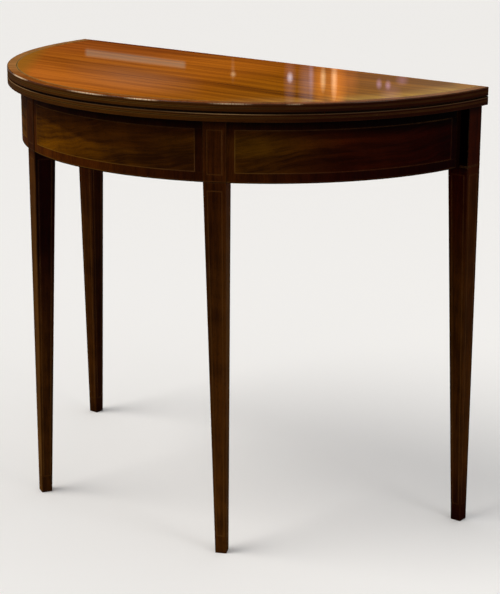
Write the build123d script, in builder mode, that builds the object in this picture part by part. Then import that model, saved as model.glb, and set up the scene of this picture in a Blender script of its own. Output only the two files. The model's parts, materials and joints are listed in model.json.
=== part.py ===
from build123d import *
import os
from math import acos, asin, cos, degrees, radians, sin

# A half-round fold-over tea table. Millimetres, +Z up, +X to the right along the straight back,
# the bow faces -Y. The origin is on the floor, under the middle of the table's bounding box.
# Angles round the bow are measured from the front, positive towards +X.

# Overall sizes
table_height = 740.0
leaf_radius = 447.0
leaf_return = 6.2
leaf_thickness = 14.2
leaf_gap = 0.3
leaf_arris = 1.2
leaf_quirk = 1.6
overrun = 2.0

# Inlay of the leaves
crossband_width = 15.0
string_width = 1.0
string_depth = 0.8
veneer_thickness = 1.5

# Frieze
frieze_overhang = 22.0
frieze_height = 98.0
frieze_setback = 50.5
core_thickness = 22.0
glue_line = 0.05
brick_joint = 0.2
course_count = 3
bricks_per_course = 9
panel_border = 15.5
panel_end_border = 12.5

# Legs
leg_top = 36.5
leg_foot = 18.5
front_leg_angle = 28.1
die_projection = 0.6
die_joint = 0.3
bridle_front_cheek = 9.5
bridle_tongue = 12.0
bridle_clearance = 0.05
leg_string_drop = 13.0
leg_string_rise = 30.0
leg_string_inset = 6.0
leg_inset_share = leg_string_inset / leg_top
die_string_top = 16.0
die_string_bottom = 12.0

# Back rail and gates
gate_leg_overhang = 10.0
gate_leg_setback = 1.0
gate_top_clearance = 0.5
gate_rail_thickness = 23.6
gate_rail_height = 92.0
gate_rail_inset = 3.3
swing_clearance = 0.4
notch_clearance = 1.0
knuckle_count = 5
knuckle_clearance = 0.3
gate_pin_x = 90.0
gate_pin_radius = 3.0
pin_clearance = 0.05
tenon_thickness = 9.0
tenon_height = 66.0
tenon_length = 26.0
tenon_clearance = 0.1

# Brass hinges of the leaves
hinge_inset = 42.0
hinge_length = 60.0
hinge_plate_drop = 11.0
hinge_plate_thickness = 1.8
hinge_knuckle_radius = 2.6
hinge_knuckle_count = 3
hinge_knuckle_gap = 0.3
hinge_pin_radius = 1.2
hinge_seat_clearance = 0.4
hinge_screw_spacing = 38.0
hinge_screw_radius = 1.3
hinge_screw_head_radius = 2.6
hinge_screw_length = 14.0

# Wood screws
screw_radius = 2.2
screw_head_radius = 4.4
screw_clearance = 0.05
countersink_angle = 90
block_screw_length = 38.0
block_screw_spacing_x = 90.0
block_screw_spacing_z = 46.0
pocket_radius = 6.5
pocket_drop = 30.0
pocket_tilt = 18
pocket_screw_length = 34.0
pocket_screw_bite = 8.0

# Inner carcase
bearer_width = 60.0
bearer_height = 30.0
bearer_screw_length = 34.0
bearer_screw_spacing = 230.0
bearer_bore_radius = 5.5
glue_block_section = 22.0
glue_block_length = 62.0
corner_block_section = 26.0
glue_block_angles = (14.0, 48.0, 64.0)
pocket_angles = (36.5, 74.5)
rail_pocket_share = 0.5
lap_depth = 14.0
lap_height = 15.0
lap_flare = 6.0
lap_clearance = 0.1

# Worked-out places
leaf_depth = leaf_radius + leaf_return
hinge_setback = leaf_gap / 2
knuckle_reach = hinge_setback + hinge_knuckle_radius
back_y = (leaf_depth - knuckle_reach) / 2
arc_y = back_y - leaf_return
upper_leaf_bottom = table_height - leaf_thickness
lower_leaf_top = upper_leaf_bottom - leaf_gap
underside = lower_leaf_top - leaf_thickness
hinge_z = lower_leaf_top + leaf_gap / 2
hinge_x = leaf_radius - hinge_inset
hinge_y = back_y + hinge_setback

frieze_radius = leaf_radius - frieze_overhang
core_outer = frieze_radius - veneer_thickness - glue_line
core_inner = core_outer - core_thickness
frieze_bottom = underside - frieze_height
course_height = frieze_height / course_count
frieze_end_y = back_y - frieze_setback
frieze_end_angle = degrees(acos((arc_y - frieze_end_y) / frieze_radius))

die_radius = frieze_radius + die_projection
tongue_outer = die_radius - bridle_front_cheek
tongue_inner = tongue_outer - bridle_tongue
die_half_angle = degrees(asin((leg_top / 2 + die_joint) / frieze_radius))

gate_leg_outer_x = leaf_radius - gate_leg_overhang
gate_leg_back_y = back_y - gate_leg_setback
gate_leg_front_y = gate_leg_back_y - leg_top
gate_leg_inner_x = gate_leg_outer_x - leg_top
gate_pin_y = gate_leg_back_y - gate_rail_inset - gate_rail_thickness / 2
gate_barrel_radius = gate_rail_thickness / 2
rail_rear_y = gate_pin_y - gate_barrel_radius - swing_clearance
gate_top = underside - gate_top_clearance
gate_rail_bottom = gate_top - gate_rail_height
finger_pitch = gate_rail_height / knuckle_count


def half_round(radius, level, back=back_y):
    """The D outline: a half circle with short straight returns to the back edge."""
    with BuildSketch(Plane.XY.offset(level)) as outline:
        with BuildLine():
            bow = CenterArc((0, arc_y), radius, 180, 180)
            Polyline(bow @ 1, (radius, back), (-radius, back), bow @ 0)
        make_face()
    return outline.sketch


def arc_band(inner, outer, start, end, level):
    """A flat band between two radii and two angles round the bow."""
    with BuildSketch(Plane.XY.offset(level)) as band:
        with BuildLine():
            far = CenterArc((0, arc_y), outer, start - 90, end - start)
            near = CenterArc((0, arc_y), inner, start - 90, end - start)
            Line(far @ 0, near @ 0)
            Line(far @ 1, near @ 1)
        make_face()
    return band.sketch


def radial_plane(angle, level=0):
    """A level plane centred on the bow, its -Y side turned to face out at the angle."""
    turn = radians(angle)
    return Plane(origin=(0, arc_y, level), x_dir=(cos(turn), sin(turn), 0), z_dir=(0, 0, 1))


def d_ring(outer, inner, level, depth):
    """A ring let into a leaf, open at the straight back."""
    with BuildPart() as ring:
        extrude(half_round(outer, level), amount=depth)
        extrude(half_round(inner, level, back_y + overrun), amount=depth, mode=Mode.SUBTRACT)
    return ring.part


def countersunk_screw(seat, shank, head, length):
    """A wood screw with its head level with the seat plane, driven against the plane's axis."""
    with BuildPart(seat) as screw:
        Cylinder(shank, length, align=(Align.CENTER, Align.CENTER, Align.MAX))
        Cone(shank, head, head - shank, align=(Align.CENTER, Align.CENTER, Align.MAX))
    return screw.part


# Leaf hinges: the seats, then the brass pieces
def hinge_screw_seats(centre_x, height):
    """The screw seats of one hinge plate, on the back edge of a leaf."""
    offsets = (-hinge_screw_spacing / 2, hinge_screw_spacing / 2)
    return [Plane(origin=(centre_x + offset, back_y, height), x_dir=(1, 0, 0), z_dir=(0, 1, 0))
            for offset in offsets]


lower_screw_z = hinge_z - hinge_plate_drop / 2 - hinge_knuckle_radius / 2
upper_screw_z = 2 * hinge_z - lower_screw_z


def hinge_seat(centre_x, direction):
    """The room that one hinge needs in a leaf: a let-in for the plate and a cove for the knuckles."""
    with BuildPart() as seat:
        with BuildSketch(Plane(origin=(centre_x, back_y, hinge_z), x_dir=(1, 0, 0), z_dir=(0, -1, 0))):
            Rectangle(hinge_length, hinge_plate_drop,
                      align=(Align.CENTER, Align.MIN if direction > 0 else Align.MAX))
        extrude(amount=hinge_plate_thickness)
        with BuildSketch(Plane(origin=(centre_x, hinge_y, hinge_z), x_dir=(0, 1, 0), z_dir=(1, 0, 0))):
            Circle(hinge_knuckle_radius + hinge_seat_clearance)
        extrude(amount=hinge_length / 2 + hinge_knuckle_gap, both=True)
    return seat.part


def hinge_leaf(centre_x, direction, knuckles, screw_z):
    """One plate of a butt hinge with its own knuckles, bored for the pin and the screws."""
    pitch = hinge_length / hinge_knuckle_count
    clear = hinge_knuckle_radius + hinge_seat_clearance
    start_x = centre_x - hinge_length / 2
    side_plane = Plane(origin=(start_x, hinge_y, hinge_z), x_dir=(0, 1, 0), z_dir=(1, 0, 0))
    edge = Align.MIN if direction > 0 else Align.MAX
    with BuildPart() as leaf:
        with BuildSketch(side_plane):
            with Locations((-hinge_setback, direction * clear)):
                Rectangle(hinge_plate_thickness, hinge_plate_drop - clear, align=(Align.MAX, edge))
        extrude(amount=hinge_length)
        for knuckle in knuckles:
            with BuildSketch(side_plane.offset(knuckle * pitch + hinge_knuckle_gap / 2)):
                Circle(hinge_knuckle_radius)
                with Locations((-hinge_setback, 0)):
                    Rectangle(hinge_plate_thickness, hinge_plate_drop, align=(Align.MAX, edge))
            extrude(amount=pitch - hinge_knuckle_gap)
        with BuildSketch(side_plane):
            Circle(hinge_pin_radius + pin_clearance)
        extrude(amount=hinge_length, mode=Mode.SUBTRACT)
        with Locations(*hinge_screw_seats(centre_x, screw_z)):
            CounterSinkHole(hinge_screw_radius + screw_clearance, hinge_screw_head_radius + screw_clearance,
                            hinge_plate_thickness + overrun, countersink_angle)
    return leaf.part


def hinge_pin(centre_x):
    """The pin through all the knuckles of one hinge."""
    side_plane = Plane(origin=(centre_x, hinge_y, hinge_z), x_dir=(0, 1, 0), z_dir=(1, 0, 0))
    with BuildPart() as pin:
        with BuildSketch(side_plane):
            Circle(hinge_pin_radius)
        extrude(amount=(hinge_length - hinge_knuckle_gap) / 2, both=True)
    return pin.part


def hinge_screws(screw_z):
    """The screws of both hinges in one leaf."""
    seats = hinge_screw_seats(hinge_x, screw_z) + hinge_screw_seats(-hinge_x, screw_z)
    with BuildPart() as screws:
        for seat in seats:
            add(countersunk_screw(seat, hinge_screw_radius, hinge_screw_head_radius, hinge_screw_length))
    return screws.part


# Pocket screws hold the lower leaf down. Each seat plane looks down the screw's own axis.
def frieze_pocket_seat(angle):
    """The seat of a pocket screw in the frieze, its head inside the pocket."""
    tilt = radians(pocket_tilt)
    turn = radians(angle)
    out = Vector(sin(turn), -cos(turn), 0)
    drive = out * sin(tilt) + Vector(0, 0, cos(tilt))
    tip = Vector(0, arc_y, underside + pocket_screw_bite) + out * (core_inner + core_thickness / 2)
    return Plane(origin=tip - drive * pocket_screw_length, z_dir=drive * -1)


def rail_pocket_seat(x):
    """The seat of a pocket screw in the back rail, its pocket on the inner face."""
    tilt = radians(pocket_tilt)
    drive = Vector(0, sin(tilt), cos(tilt))
    middle_y = (frieze_end_y + rail_rear_y) / 2
    tip = Vector(x, middle_y, underside + pocket_screw_bite)
    return Plane(origin=tip - drive * pocket_screw_length, z_dir=drive * -1)


frieze_pockets = [frieze_pocket_seat(side * angle) for angle in pocket_angles for side in (-1, 1)]
rail_pockets = [rail_pocket_seat(side * rail_pocket_share * core_inner) for side in (-1, 1)]


def cut_pockets(seats):
    """The gouged pockets, each open below its screw's head, with the screw's own hole above."""
    with BuildPart() as cutter:
        for seat in seats:
            with BuildSketch(seat):
                Circle(pocket_radius)
            extrude(amount=pocket_drop)
            add(countersunk_screw(seat, screw_radius + screw_clearance, screw_head_radius + screw_clearance,
                                  pocket_screw_length + screw_clearance))
    return cutter.part


frieze_pocket_cut = cut_pockets(frieze_pockets)
rail_pocket_cut = cut_pockets(rail_pockets)

# Screws of the medial bearer, driven up from counterbores
bearer_bottom = underside - bearer_height
bearer_front_y = arc_y - core_inner
bearer_middle_y = (frieze_end_y + bearer_front_y) / 2
bearer_seats = [Plane(origin=(0, bearer_middle_y + shift, underside + pocket_screw_bite - bearer_screw_length),
                      z_dir=(0, 0, -1)) for shift in (-bearer_screw_spacing / 2, bearer_screw_spacing / 2)]


def bearer_lap(end_y, direction, clearance):
    """A dovetail lap at one end of the bearer, let into the top of the rail or the frieze."""
    root = bearer_width / 2 - lap_flare + clearance
    tip = bearer_width / 2 + clearance
    far_y = end_y + direction * (lap_depth + clearance)
    with BuildPart() as lap:
        with BuildSketch(Plane.XY.offset(underside - lap_height - clearance)):
            with BuildLine():
                Polyline((-root, end_y), (root, end_y), (tip, far_y), (-tip, far_y), close=True)
            make_face()
        extrude(amount=lap_height + clearance)
    return lap.part


# Lower leaf
def edge_strings(leaf_bottom):
    """The strings let into the middle of a leaf's edge: the two light ones, and the dark one between."""
    middle = leaf_bottom + leaf_thickness / 2
    inner = leaf_radius - string_depth
    with BuildPart() as light:
        add(d_ring(leaf_radius, inner, middle - string_width * 3 / 2, string_width))
        add(d_ring(leaf_radius, inner, middle + string_width / 2, string_width))
    dark = d_ring(leaf_radius, inner, middle - string_width / 2, string_width)
    return light.part, dark


lower_edge_light, lower_edge_dark = edge_strings(underside)
with BuildPart() as lower_leaf:
    extrude(half_round(leaf_radius, underside), amount=leaf_thickness)
    chamfer(lower_leaf.faces().sort_by(Axis.Z)[-1].edges().sort_by(Axis.Y)[:-1], leaf_quirk)
    chamfer(lower_leaf.faces().sort_by(Axis.Z)[0].edges().sort_by(Axis.Y)[:-1], leaf_arris)
    add(lower_edge_light, mode=Mode.SUBTRACT)
    add(lower_edge_dark, mode=Mode.SUBTRACT)
    for side in (-1, 1):
        add(hinge_seat(side * hinge_x, -1), mode=Mode.SUBTRACT)
        with Locations(*hinge_screw_seats(side * hinge_x, lower_screw_z)):
            Hole(hinge_screw_radius + screw_clearance, hinge_screw_length + screw_clearance)
    add(frieze_pocket_cut, mode=Mode.SUBTRACT)
    add(rail_pocket_cut, mode=Mode.SUBTRACT)
    with Locations(*bearer_seats):
        Hole(screw_radius + screw_clearance, bearer_screw_length + screw_clearance)
lower_leaf.part.label = "lower_leaf"

# Upper leaf with its crossband and strings let into the show face
inlay_bottom = table_height - veneer_thickness
crossband_inner = leaf_radius - crossband_width
light_outer_inner = crossband_inner - string_width
dark_inner = light_outer_inner - string_width
light_inner_inner = dark_inner - string_width

upper_edge_light, upper_edge_dark = edge_strings(upper_leaf_bottom)
with BuildPart() as upper_leaf:
    extrude(half_round(leaf_radius, upper_leaf_bottom), amount=leaf_thickness)
    chamfer(upper_leaf.faces().sort_by(Axis.Z)[0].edges().sort_by(Axis.Y)[:-1], leaf_quirk)
    add(d_ring(leaf_radius + overrun, light_inner_inner, inlay_bottom, veneer_thickness + overrun),
        mode=Mode.SUBTRACT)
    add(upper_edge_light, mode=Mode.SUBTRACT)
    add(upper_edge_dark, mode=Mode.SUBTRACT)
    for side in (-1, 1):
        add(hinge_seat(side * hinge_x, 1), mode=Mode.SUBTRACT)
        with Locations(*hinge_screw_seats(side * hinge_x, upper_screw_z)):
            Hole(hinge_screw_radius + screw_clearance, hinge_screw_length + screw_clearance)
upper_leaf.part.label = "upper_leaf"

with BuildPart() as top_crossband:
    add(d_ring(leaf_radius, crossband_inner, inlay_bottom, veneer_thickness))
    outer_top = top_crossband.faces().sort_by(Axis.Z)[-1].edges().filter_by(GeomType.CIRCLE)
    fillet(outer_top.sort_by(SortBy.LENGTH)[-1], leaf_arris)
top_crossband.part.label = "top_crossband"

with BuildPart() as top_light_strings:
    add(d_ring(crossband_inner, light_outer_inner, inlay_bottom, veneer_thickness))
    add(d_ring(dark_inner, light_inner_inner, inlay_bottom, veneer_thickness))
top_light_strings.part.label = "top_light_strings"

with BuildPart() as top_dark_string:
    add(d_ring(light_outer_inner, dark_inner, inlay_bottom, veneer_thickness))
top_dark_string.part.label = "top_dark_string"

# Hinges, one each side
lower_knuckles = range(0, hinge_knuckle_count, 2)
upper_knuckles = range(1, hinge_knuckle_count, 2)
hinge_pieces = {
    "lower_hinge_plate_right": hinge_leaf(hinge_x, -1, lower_knuckles, lower_screw_z),
    "lower_hinge_plate_left": hinge_leaf(-hinge_x, -1, lower_knuckles, lower_screw_z),
    "upper_hinge_plate_right": hinge_leaf(hinge_x, 1, upper_knuckles, upper_screw_z),
    "upper_hinge_plate_left": hinge_leaf(-hinge_x, 1, upper_knuckles, upper_screw_z),
    "hinge_pin_right": hinge_pin(hinge_x),
    "hinge_pin_left": hinge_pin(-hinge_x),
    "lower_hinge_screws": hinge_screws(lower_screw_z),
    "upper_hinge_screws": hinge_screws(upper_screw_z),
}


# Legs. Each leg has one upright corner, and tapers on the two faces away from it.
def leg_width(height):
    """The side of the leg's square at a height, below the frieze."""
    return leg_foot + (leg_top - leg_foot) * height / frieze_bottom


def leg_blank(corner, inward, top):
    """A leg from its upright corner: the corner plane's -X side, and its +Y or -Y side."""
    seat = (Align.MAX, Align.MIN if inward > 0 else Align.MAX)
    with BuildPart() as leg:
        with BuildSketch(corner) as foot:
            Rectangle(leg_foot, leg_foot, align=seat)
        with BuildSketch(corner.offset(frieze_bottom)) as shoulder:
            Rectangle(leg_top, leg_top, align=seat)
        loft([foot.sketch, shoulder.sketch], ruled=True)
        extrude(shoulder.sketch, amount=top - frieze_bottom)
    return leg.part


def string_loop(corners_out, corners_in, depth):
    """A string rectangle let into a flat face: two loops of corners, seen from outside."""
    middle = sum(corners_out, Vector(0, 0, 0)) / len(corners_out)
    across = (corners_out[1] - corners_out[0]).normalized()
    along = (corners_out[3] - corners_out[0]).normalized()
    face = Plane(origin=middle, x_dir=across, z_dir=across.cross(along))
    with BuildPart() as loop:
        with BuildSketch(face):
            with BuildLine():
                Polyline(*[face.to_local_coords(point) for point in corners_out], close=True)
            make_face()
            with BuildLine():
                Polyline(*[face.to_local_coords(point) for point in corners_in], close=True)
            make_face(mode=Mode.SUBTRACT)
        extrude(amount=-depth)
    return loop.part


def leg_strings(corner, inward, faces):
    """The string rectangles on the faces of the tapered run. A face is ("across", where) or
    ("deep", where): where is 0 at the upright corner and 1 at the tapered side."""
    low = leg_string_rise
    high = frieze_bottom - leg_string_drop
    loops = []
    for run, where in faces:
        def spot(share, height):
            width = leg_width(height)
            if run == "across":
                return corner.from_local_coords(Vector(-width * share, inward * width * where, height))
            return corner.from_local_coords(Vector(-width * where, inward * width * share, height))

        def loop_corners(inset_at, bottom, top):
            corners = [spot(inset_at(bottom), bottom), spot(1 - inset_at(bottom), bottom),
                       spot(1 - inset_at(top), top), spot(inset_at(top), top)]
            return corners

        outer = loop_corners(lambda height: leg_inset_share, low, high)
        inner = loop_corners(lambda height: leg_inset_share + string_width / leg_width(height),
                             low + string_width, high - string_width)
        middle = corner.from_local_coords(Vector(-leg_width(low) / 2, inward * leg_width(low) / 2, low))
        across = outer[1] - outer[0]
        along = outer[3] - outer[0]
        if across.cross(along).dot(outer[0] - middle) < 0:
            outer.reverse()
            inner.reverse()
        loops.append(string_loop(outer, inner, string_depth))
    return loops


front_corner = radial_plane(front_leg_angle)
front_corner = Plane(origin=front_corner.from_local_coords(Vector(leg_top / 2, -die_radius, 0)),
                     x_dir=front_corner.x_dir, z_dir=(0, 0, 1))
gate_corner = Plane(origin=(gate_leg_outer_x, gate_leg_back_y, 0), x_dir=(1, 0, 0), z_dir=(0, 0, 1))

# Front leg: its head is slotted over the frieze, and its front face is the die
front_loops = leg_strings(front_corner, 1, (("across", 0), ("deep", 0), ("deep", 1)))
die_low = frieze_bottom + die_string_bottom
die_high = underside - die_string_top


def die_corners(inset):
    """The corners of the die's string rectangle, drawn in by the inset."""
    left = -leg_top + leg_string_inset + inset
    right = -leg_string_inset - inset
    return [front_corner.from_local_coords(Vector(x, 0, z))
            for x, z in ((left, die_low + inset), (right, die_low + inset),
                         (right, die_high - inset), (left, die_high - inset))]


front_loops.append(string_loop(die_corners(0), die_corners(string_width), string_depth))


def base_string(corner, inward, course):
    """One string across a leg at the foot of the frieze: course 0 is the dark one, 1 the light one.
    A front leg has it on its face, a gate leg on all but its back."""
    level = frieze_bottom + course * string_width
    with BuildPart() as collar:
        with BuildSketch(corner.offset(level)):
            if inward > 0:
                Rectangle(leg_top, string_depth, align=(Align.MAX, Align.MIN))
            else:
                Rectangle(leg_top, leg_top, align=(Align.MAX, Align.MAX))
                with Locations((-string_depth, 0)):
                    Rectangle(leg_top - 2 * string_depth, leg_top - string_depth,
                              align=(Align.MAX, Align.MAX), mode=Mode.SUBTRACT)
        extrude(amount=string_width)
    return collar.part


front_base_dark = base_string(front_corner, 1, 0)
front_loops.append(base_string(front_corner, 1, 1))

with BuildPart() as front_leg_right:
    add(leg_blank(front_corner, 1, underside))
    with BuildSketch(radial_plane(front_leg_angle, frieze_bottom)):
        with Locations((0, -tongue_outer - bridle_clearance)):
            Rectangle(leg_top + overrun, bridle_tongue + 2 * bridle_clearance, align=(Align.CENTER, Align.MIN))
    extrude(amount=frieze_height, mode=Mode.SUBTRACT)
    for loop in front_loops:
        add(loop, mode=Mode.SUBTRACT)
    add(front_base_dark, mode=Mode.SUBTRACT)
front_leg_right.part.label = "front_leg_right"

with BuildPart() as front_leg_right_strings:
    for loop in front_loops:
        add(loop)
front_leg_right_strings.part.label = "front_leg_right_strings"

with BuildPart() as front_leg_left:
    mirror(front_leg_right.part, about=Plane.YZ)
front_leg_left.part.label = "front_leg_left"

with BuildPart() as front_leg_left_strings:
    mirror(front_leg_right_strings.part, about=Plane.YZ)
front_leg_left_strings.part.label = "front_leg_left_strings"


# Frieze core: bricks of pine in staggered courses, notched for the slotted leg heads
def leg_notches():
    """The flats cut into the frieze, outside and inside, where the two leg heads go over it."""
    with BuildPart() as notches:
        for side in (-1, 1):
            with BuildSketch(radial_plane(side * front_leg_angle, frieze_bottom - overrun)):
                with Locations((0, -tongue_outer)):
                    Rectangle(leg_top + 2 * bridle_clearance, bridle_front_cheek + overrun,
                              align=(Align.CENTER, Align.MAX))
                with Locations((0, -tongue_inner)):
                    Rectangle(leg_top + 2 * bridle_clearance, leg_top, align=(Align.CENTER, Align.MIN))
            extrude(amount=frieze_height + 2 * overrun)
    return notches.part


notches = leg_notches()
core_end_angle = degrees(acos((frieze_setback - leaf_return) / core_outer))


def brick_course(course):
    """One course of bricks: every other course is shifted by half a brick."""
    bottom = frieze_bottom + course * course_height
    step = 2 * core_end_angle / bricks_per_course
    shift = step / 2 if course % 2 else 0
    joint = degrees(brick_joint / core_outer)
    marks = [-90]
    marks += [-core_end_angle + shift + step * index for index in range(0 if shift else 1, bricks_per_course)]
    marks.append(90)
    with BuildPart() as bricks:
        for start, end in zip(marks, marks[1:]):
            extrude(arc_band(core_inner, core_outer, start + joint / 2, end - joint / 2, bottom),
                    amount=course_height)
        with BuildSketch(Plane.XY.offset(bottom - overrun)):
            with Locations((0, frieze_end_y)):
                Rectangle(2 * leaf_radius, leaf_radius, align=(Align.CENTER, Align.MIN))
        extrude(amount=course_height + 2 * overrun, mode=Mode.SUBTRACT)
        add(notches, mode=Mode.SUBTRACT)
        add(frieze_pocket_cut, mode=Mode.SUBTRACT)
        if course == course_count - 1:
            add(bearer_lap(bearer_front_y, -1, lap_clearance), mode=Mode.SUBTRACT)
    return bricks.part


course_names = ("lower", "middle", "upper")
courses = {f"frieze_{name}_course": brick_course(index) for index, name in enumerate(course_names)}

# Frieze veneers: three panels, each a field inside a string inside a crossband
panel_ends = (
    (-frieze_end_angle, -front_leg_angle - die_half_angle),
    (-front_leg_angle + die_half_angle, front_leg_angle - die_half_angle),
    (front_leg_angle + die_half_angle, frieze_end_angle),
)


def skin_band(ends, turn, bottom, top):
    """A stretch of the frieze's skin, drawn in by an angle at each end."""
    with BuildPart() as block:
        extrude(arc_band(core_outer + glue_line, frieze_radius, ends[0] + turn, ends[1] - turn, bottom),
                amount=top - bottom)
    return block.part


def panel_block(ends, border, end_border):
    """A block of the frieze's skin, drawn in by its borders."""
    return skin_band(ends, degrees(end_border / frieze_radius), frieze_bottom + border, underside - border)


base_light_bottom = frieze_bottom + string_width
base_light_top = base_light_bottom + string_width

with BuildPart() as frieze_crossband:
    for ends in panel_ends:
        add(skin_band(ends, 0, base_light_top, underside))
        add(panel_block(ends, panel_border, panel_end_border), mode=Mode.SUBTRACT)
frieze_crossband.part.label = "frieze_crossband"

with BuildPart() as frieze_strings:
    for ends in panel_ends:
        add(panel_block(ends, panel_border, panel_end_border))
        add(panel_block(ends, panel_border + string_width, panel_end_border + string_width), mode=Mode.SUBTRACT)
        add(skin_band(ends, 0, base_light_bottom, base_light_top))
frieze_strings.part.label = "frieze_strings"

with BuildPart() as frieze_base_dark_string:
    for ends in panel_ends:
        add(skin_band(ends, 0, frieze_bottom, base_light_bottom))
    add(front_base_dark)
    mirror(front_base_dark, about=Plane.YZ)
frieze_base_dark_string.part.label = "frieze_base_dark_string"

with BuildPart() as frieze_field_veneers:
    for ends in panel_ends:
        add(panel_block(ends, panel_border + string_width, panel_end_border + string_width))
frieze_field_veneers.part.label = "frieze_field_veneers"

# Back rail: notched at its ends, where the heads of the gate legs close against it
knuckle_block_seats = [
    Plane(origin=(x, gate_pin_y + gate_barrel_radius, gate_rail_bottom + gate_rail_height / 2 + z),
          x_dir=(1, 0, 0), z_dir=(0, 1, 0))
    for x in (-block_screw_spacing_x / 2, block_screw_spacing_x / 2)
    for z in (-block_screw_spacing_z / 2, block_screw_spacing_z / 2)]

with BuildPart() as back_rail:
    with BuildSketch(Plane.XY.offset(frieze_bottom)):
        with Locations((0, frieze_end_y)):
            Rectangle(2 * leaf_radius, rail_rear_y - frieze_end_y, align=(Align.CENTER, Align.MIN))
        add(half_round(core_outer, 0), mode=Mode.INTERSECT)
    extrude(amount=frieze_height)
    with BuildSketch(Plane.XY.offset(frieze_bottom - overrun)):
        for side in (-1, 1):
            with Locations((side * (gate_leg_inner_x - notch_clearance), gate_leg_front_y - notch_clearance)):
                Rectangle(leaf_radius, leaf_radius, align=(Align.MIN if side > 0 else Align.MAX, Align.MIN))
    extrude(amount=frieze_height + 2 * overrun, mode=Mode.SUBTRACT)
    add(rail_pocket_cut, mode=Mode.SUBTRACT)
    add(bearer_lap(frieze_end_y, 1, lap_clearance), mode=Mode.SUBTRACT)
    with Locations(*knuckle_block_seats):
        Hole(screw_radius + screw_clearance, block_screw_length + screw_clearance)
back_rail.part.label = "back_rail"


# Gates: wooden knuckle joints between a fixed middle block and the two gate rails
def knuckle_gap(pin_side, gap_side):
    """What one rail gives up for the other's fingers at a pin: a round cove on the rail side, and a
    square shoulder behind it, which lets the gate open to a right angle and stops it there."""
    clear = gate_barrel_radius + knuckle_clearance
    reach = clear + overrun
    inner = Align.MIN if gap_side > 0 else Align.MAX
    with BuildSketch() as gap:
        with Locations((pin_side * gate_pin_x, gate_pin_y)):
            Circle(clear)
            Rectangle(reach, 2 * reach, align=(inner, Align.CENTER))
            with Locations((-gap_side * clear, 0)):
                Rectangle(reach, reach, align=(inner, Align.MIN))
    return gap.sketch


def cut_fingers(levels, pin_side, gap_side, spread):
    """The gaps at the named finger levels, as one cutter."""
    with BuildPart() as cutter:
        for level in levels:
            bottom = gate_rail_bottom + level * finger_pitch - spread
            extrude(Plane.XY.offset(bottom) * knuckle_gap(pin_side, gap_side), amount=finger_pitch + 2 * spread)
    return cutter.part


fixed_levels = range(0, knuckle_count, 2)
gate_levels = range(1, knuckle_count, 2)

with BuildPart() as knuckle_block:
    with BuildSketch(Plane.XY.offset(gate_rail_bottom)):
        with Locations((0, rail_rear_y)):
            Rectangle(2 * gate_pin_x, gate_rail_thickness + swing_clearance, align=(Align.CENTER, Align.MIN))
        with Locations((-gate_pin_x, gate_pin_y), (gate_pin_x, gate_pin_y)):
            Circle(gate_barrel_radius)
    extrude(amount=gate_rail_height)
    for side in (-1, 1):
        add(cut_fingers(gate_levels, side, side, 0), mode=Mode.SUBTRACT)
    with BuildSketch(Plane.XY.offset(gate_rail_bottom - overrun)):
        with Locations((-gate_pin_x, gate_pin_y), (gate_pin_x, gate_pin_y)):
            Circle(gate_pin_radius + pin_clearance)
    extrude(amount=gate_rail_height + 2 * overrun, mode=Mode.SUBTRACT)
    with Locations(*knuckle_block_seats):
        CounterSinkHole(screw_radius + screw_clearance, screw_head_radius + screw_clearance,
                        gate_rail_thickness + overrun, countersink_angle)
knuckle_block.part.label = "knuckle_block"

tenon_bottom = gate_rail_bottom + (gate_rail_height - tenon_height) / 2

with BuildPart() as gate_rail_right:
    with BuildSketch(Plane.XY.offset(gate_rail_bottom)):
        with Locations((gate_pin_x, gate_pin_y)):
            Circle(gate_barrel_radius)
            Rectangle(gate_leg_inner_x - gate_pin_x, gate_rail_thickness, align=(Align.MIN, Align.CENTER))
    extrude(amount=gate_rail_height)
    add(cut_fingers(fixed_levels, 1, -1, knuckle_clearance), mode=Mode.SUBTRACT)
    with BuildSketch(Plane.XY.offset(gate_rail_bottom - overrun)):
        with Locations((gate_pin_x, gate_pin_y)):
            Circle(gate_pin_radius + pin_clearance)
    extrude(amount=gate_rail_height + 2 * overrun, mode=Mode.SUBTRACT)
    with BuildSketch(Plane.XY.offset(tenon_bottom)):
        with Locations((gate_leg_inner_x, gate_pin_y)):
            Rectangle(tenon_length, tenon_thickness, align=(Align.MIN, Align.CENTER))
    extrude(amount=tenon_height)
gate_rail_right.part.label = "gate_rail_right"

gate_loops = leg_strings(gate_corner, -1, (("deep", 0), ("across", 1), ("deep", 1)))
gate_loops.append(base_string(gate_corner, -1, 1))

with BuildPart() as gate_leg_right_dark_string:
    add(base_string(gate_corner, -1, 0))
gate_leg_right_dark_string.part.label = "gate_leg_right_dark_string"

with BuildPart() as gate_leg_right:
    add(leg_blank(gate_corner, -1, gate_top))
    with BuildSketch(Plane.XY.offset(tenon_bottom - tenon_clearance)):
        with Locations((gate_leg_inner_x, gate_pin_y)):
            Rectangle(tenon_length + tenon_clearance, tenon_thickness + 2 * tenon_clearance,
                      align=(Align.MIN, Align.CENTER))
    extrude(amount=tenon_height + 2 * tenon_clearance, mode=Mode.SUBTRACT)
    for loop in gate_loops:
        add(loop, mode=Mode.SUBTRACT)
    add(gate_leg_right_dark_string.part, mode=Mode.SUBTRACT)
gate_leg_right.part.label = "gate_leg_right"

with BuildPart() as gate_leg_right_strings:
    for loop in gate_loops:
        add(loop)
gate_leg_right_strings.part.label = "gate_leg_right_strings"

with BuildPart() as gate_rail_left:
    mirror(gate_rail_right.part, about=Plane.YZ)
gate_rail_left.part.label = "gate_rail_left"

with BuildPart() as gate_leg_left:
    mirror(gate_leg_right.part, about=Plane.YZ)
gate_leg_left.part.label = "gate_leg_left"

with BuildPart() as gate_leg_left_strings:
    mirror(gate_leg_right_strings.part, about=Plane.YZ)
gate_leg_left_strings.part.label = "gate_leg_left_strings"

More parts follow.
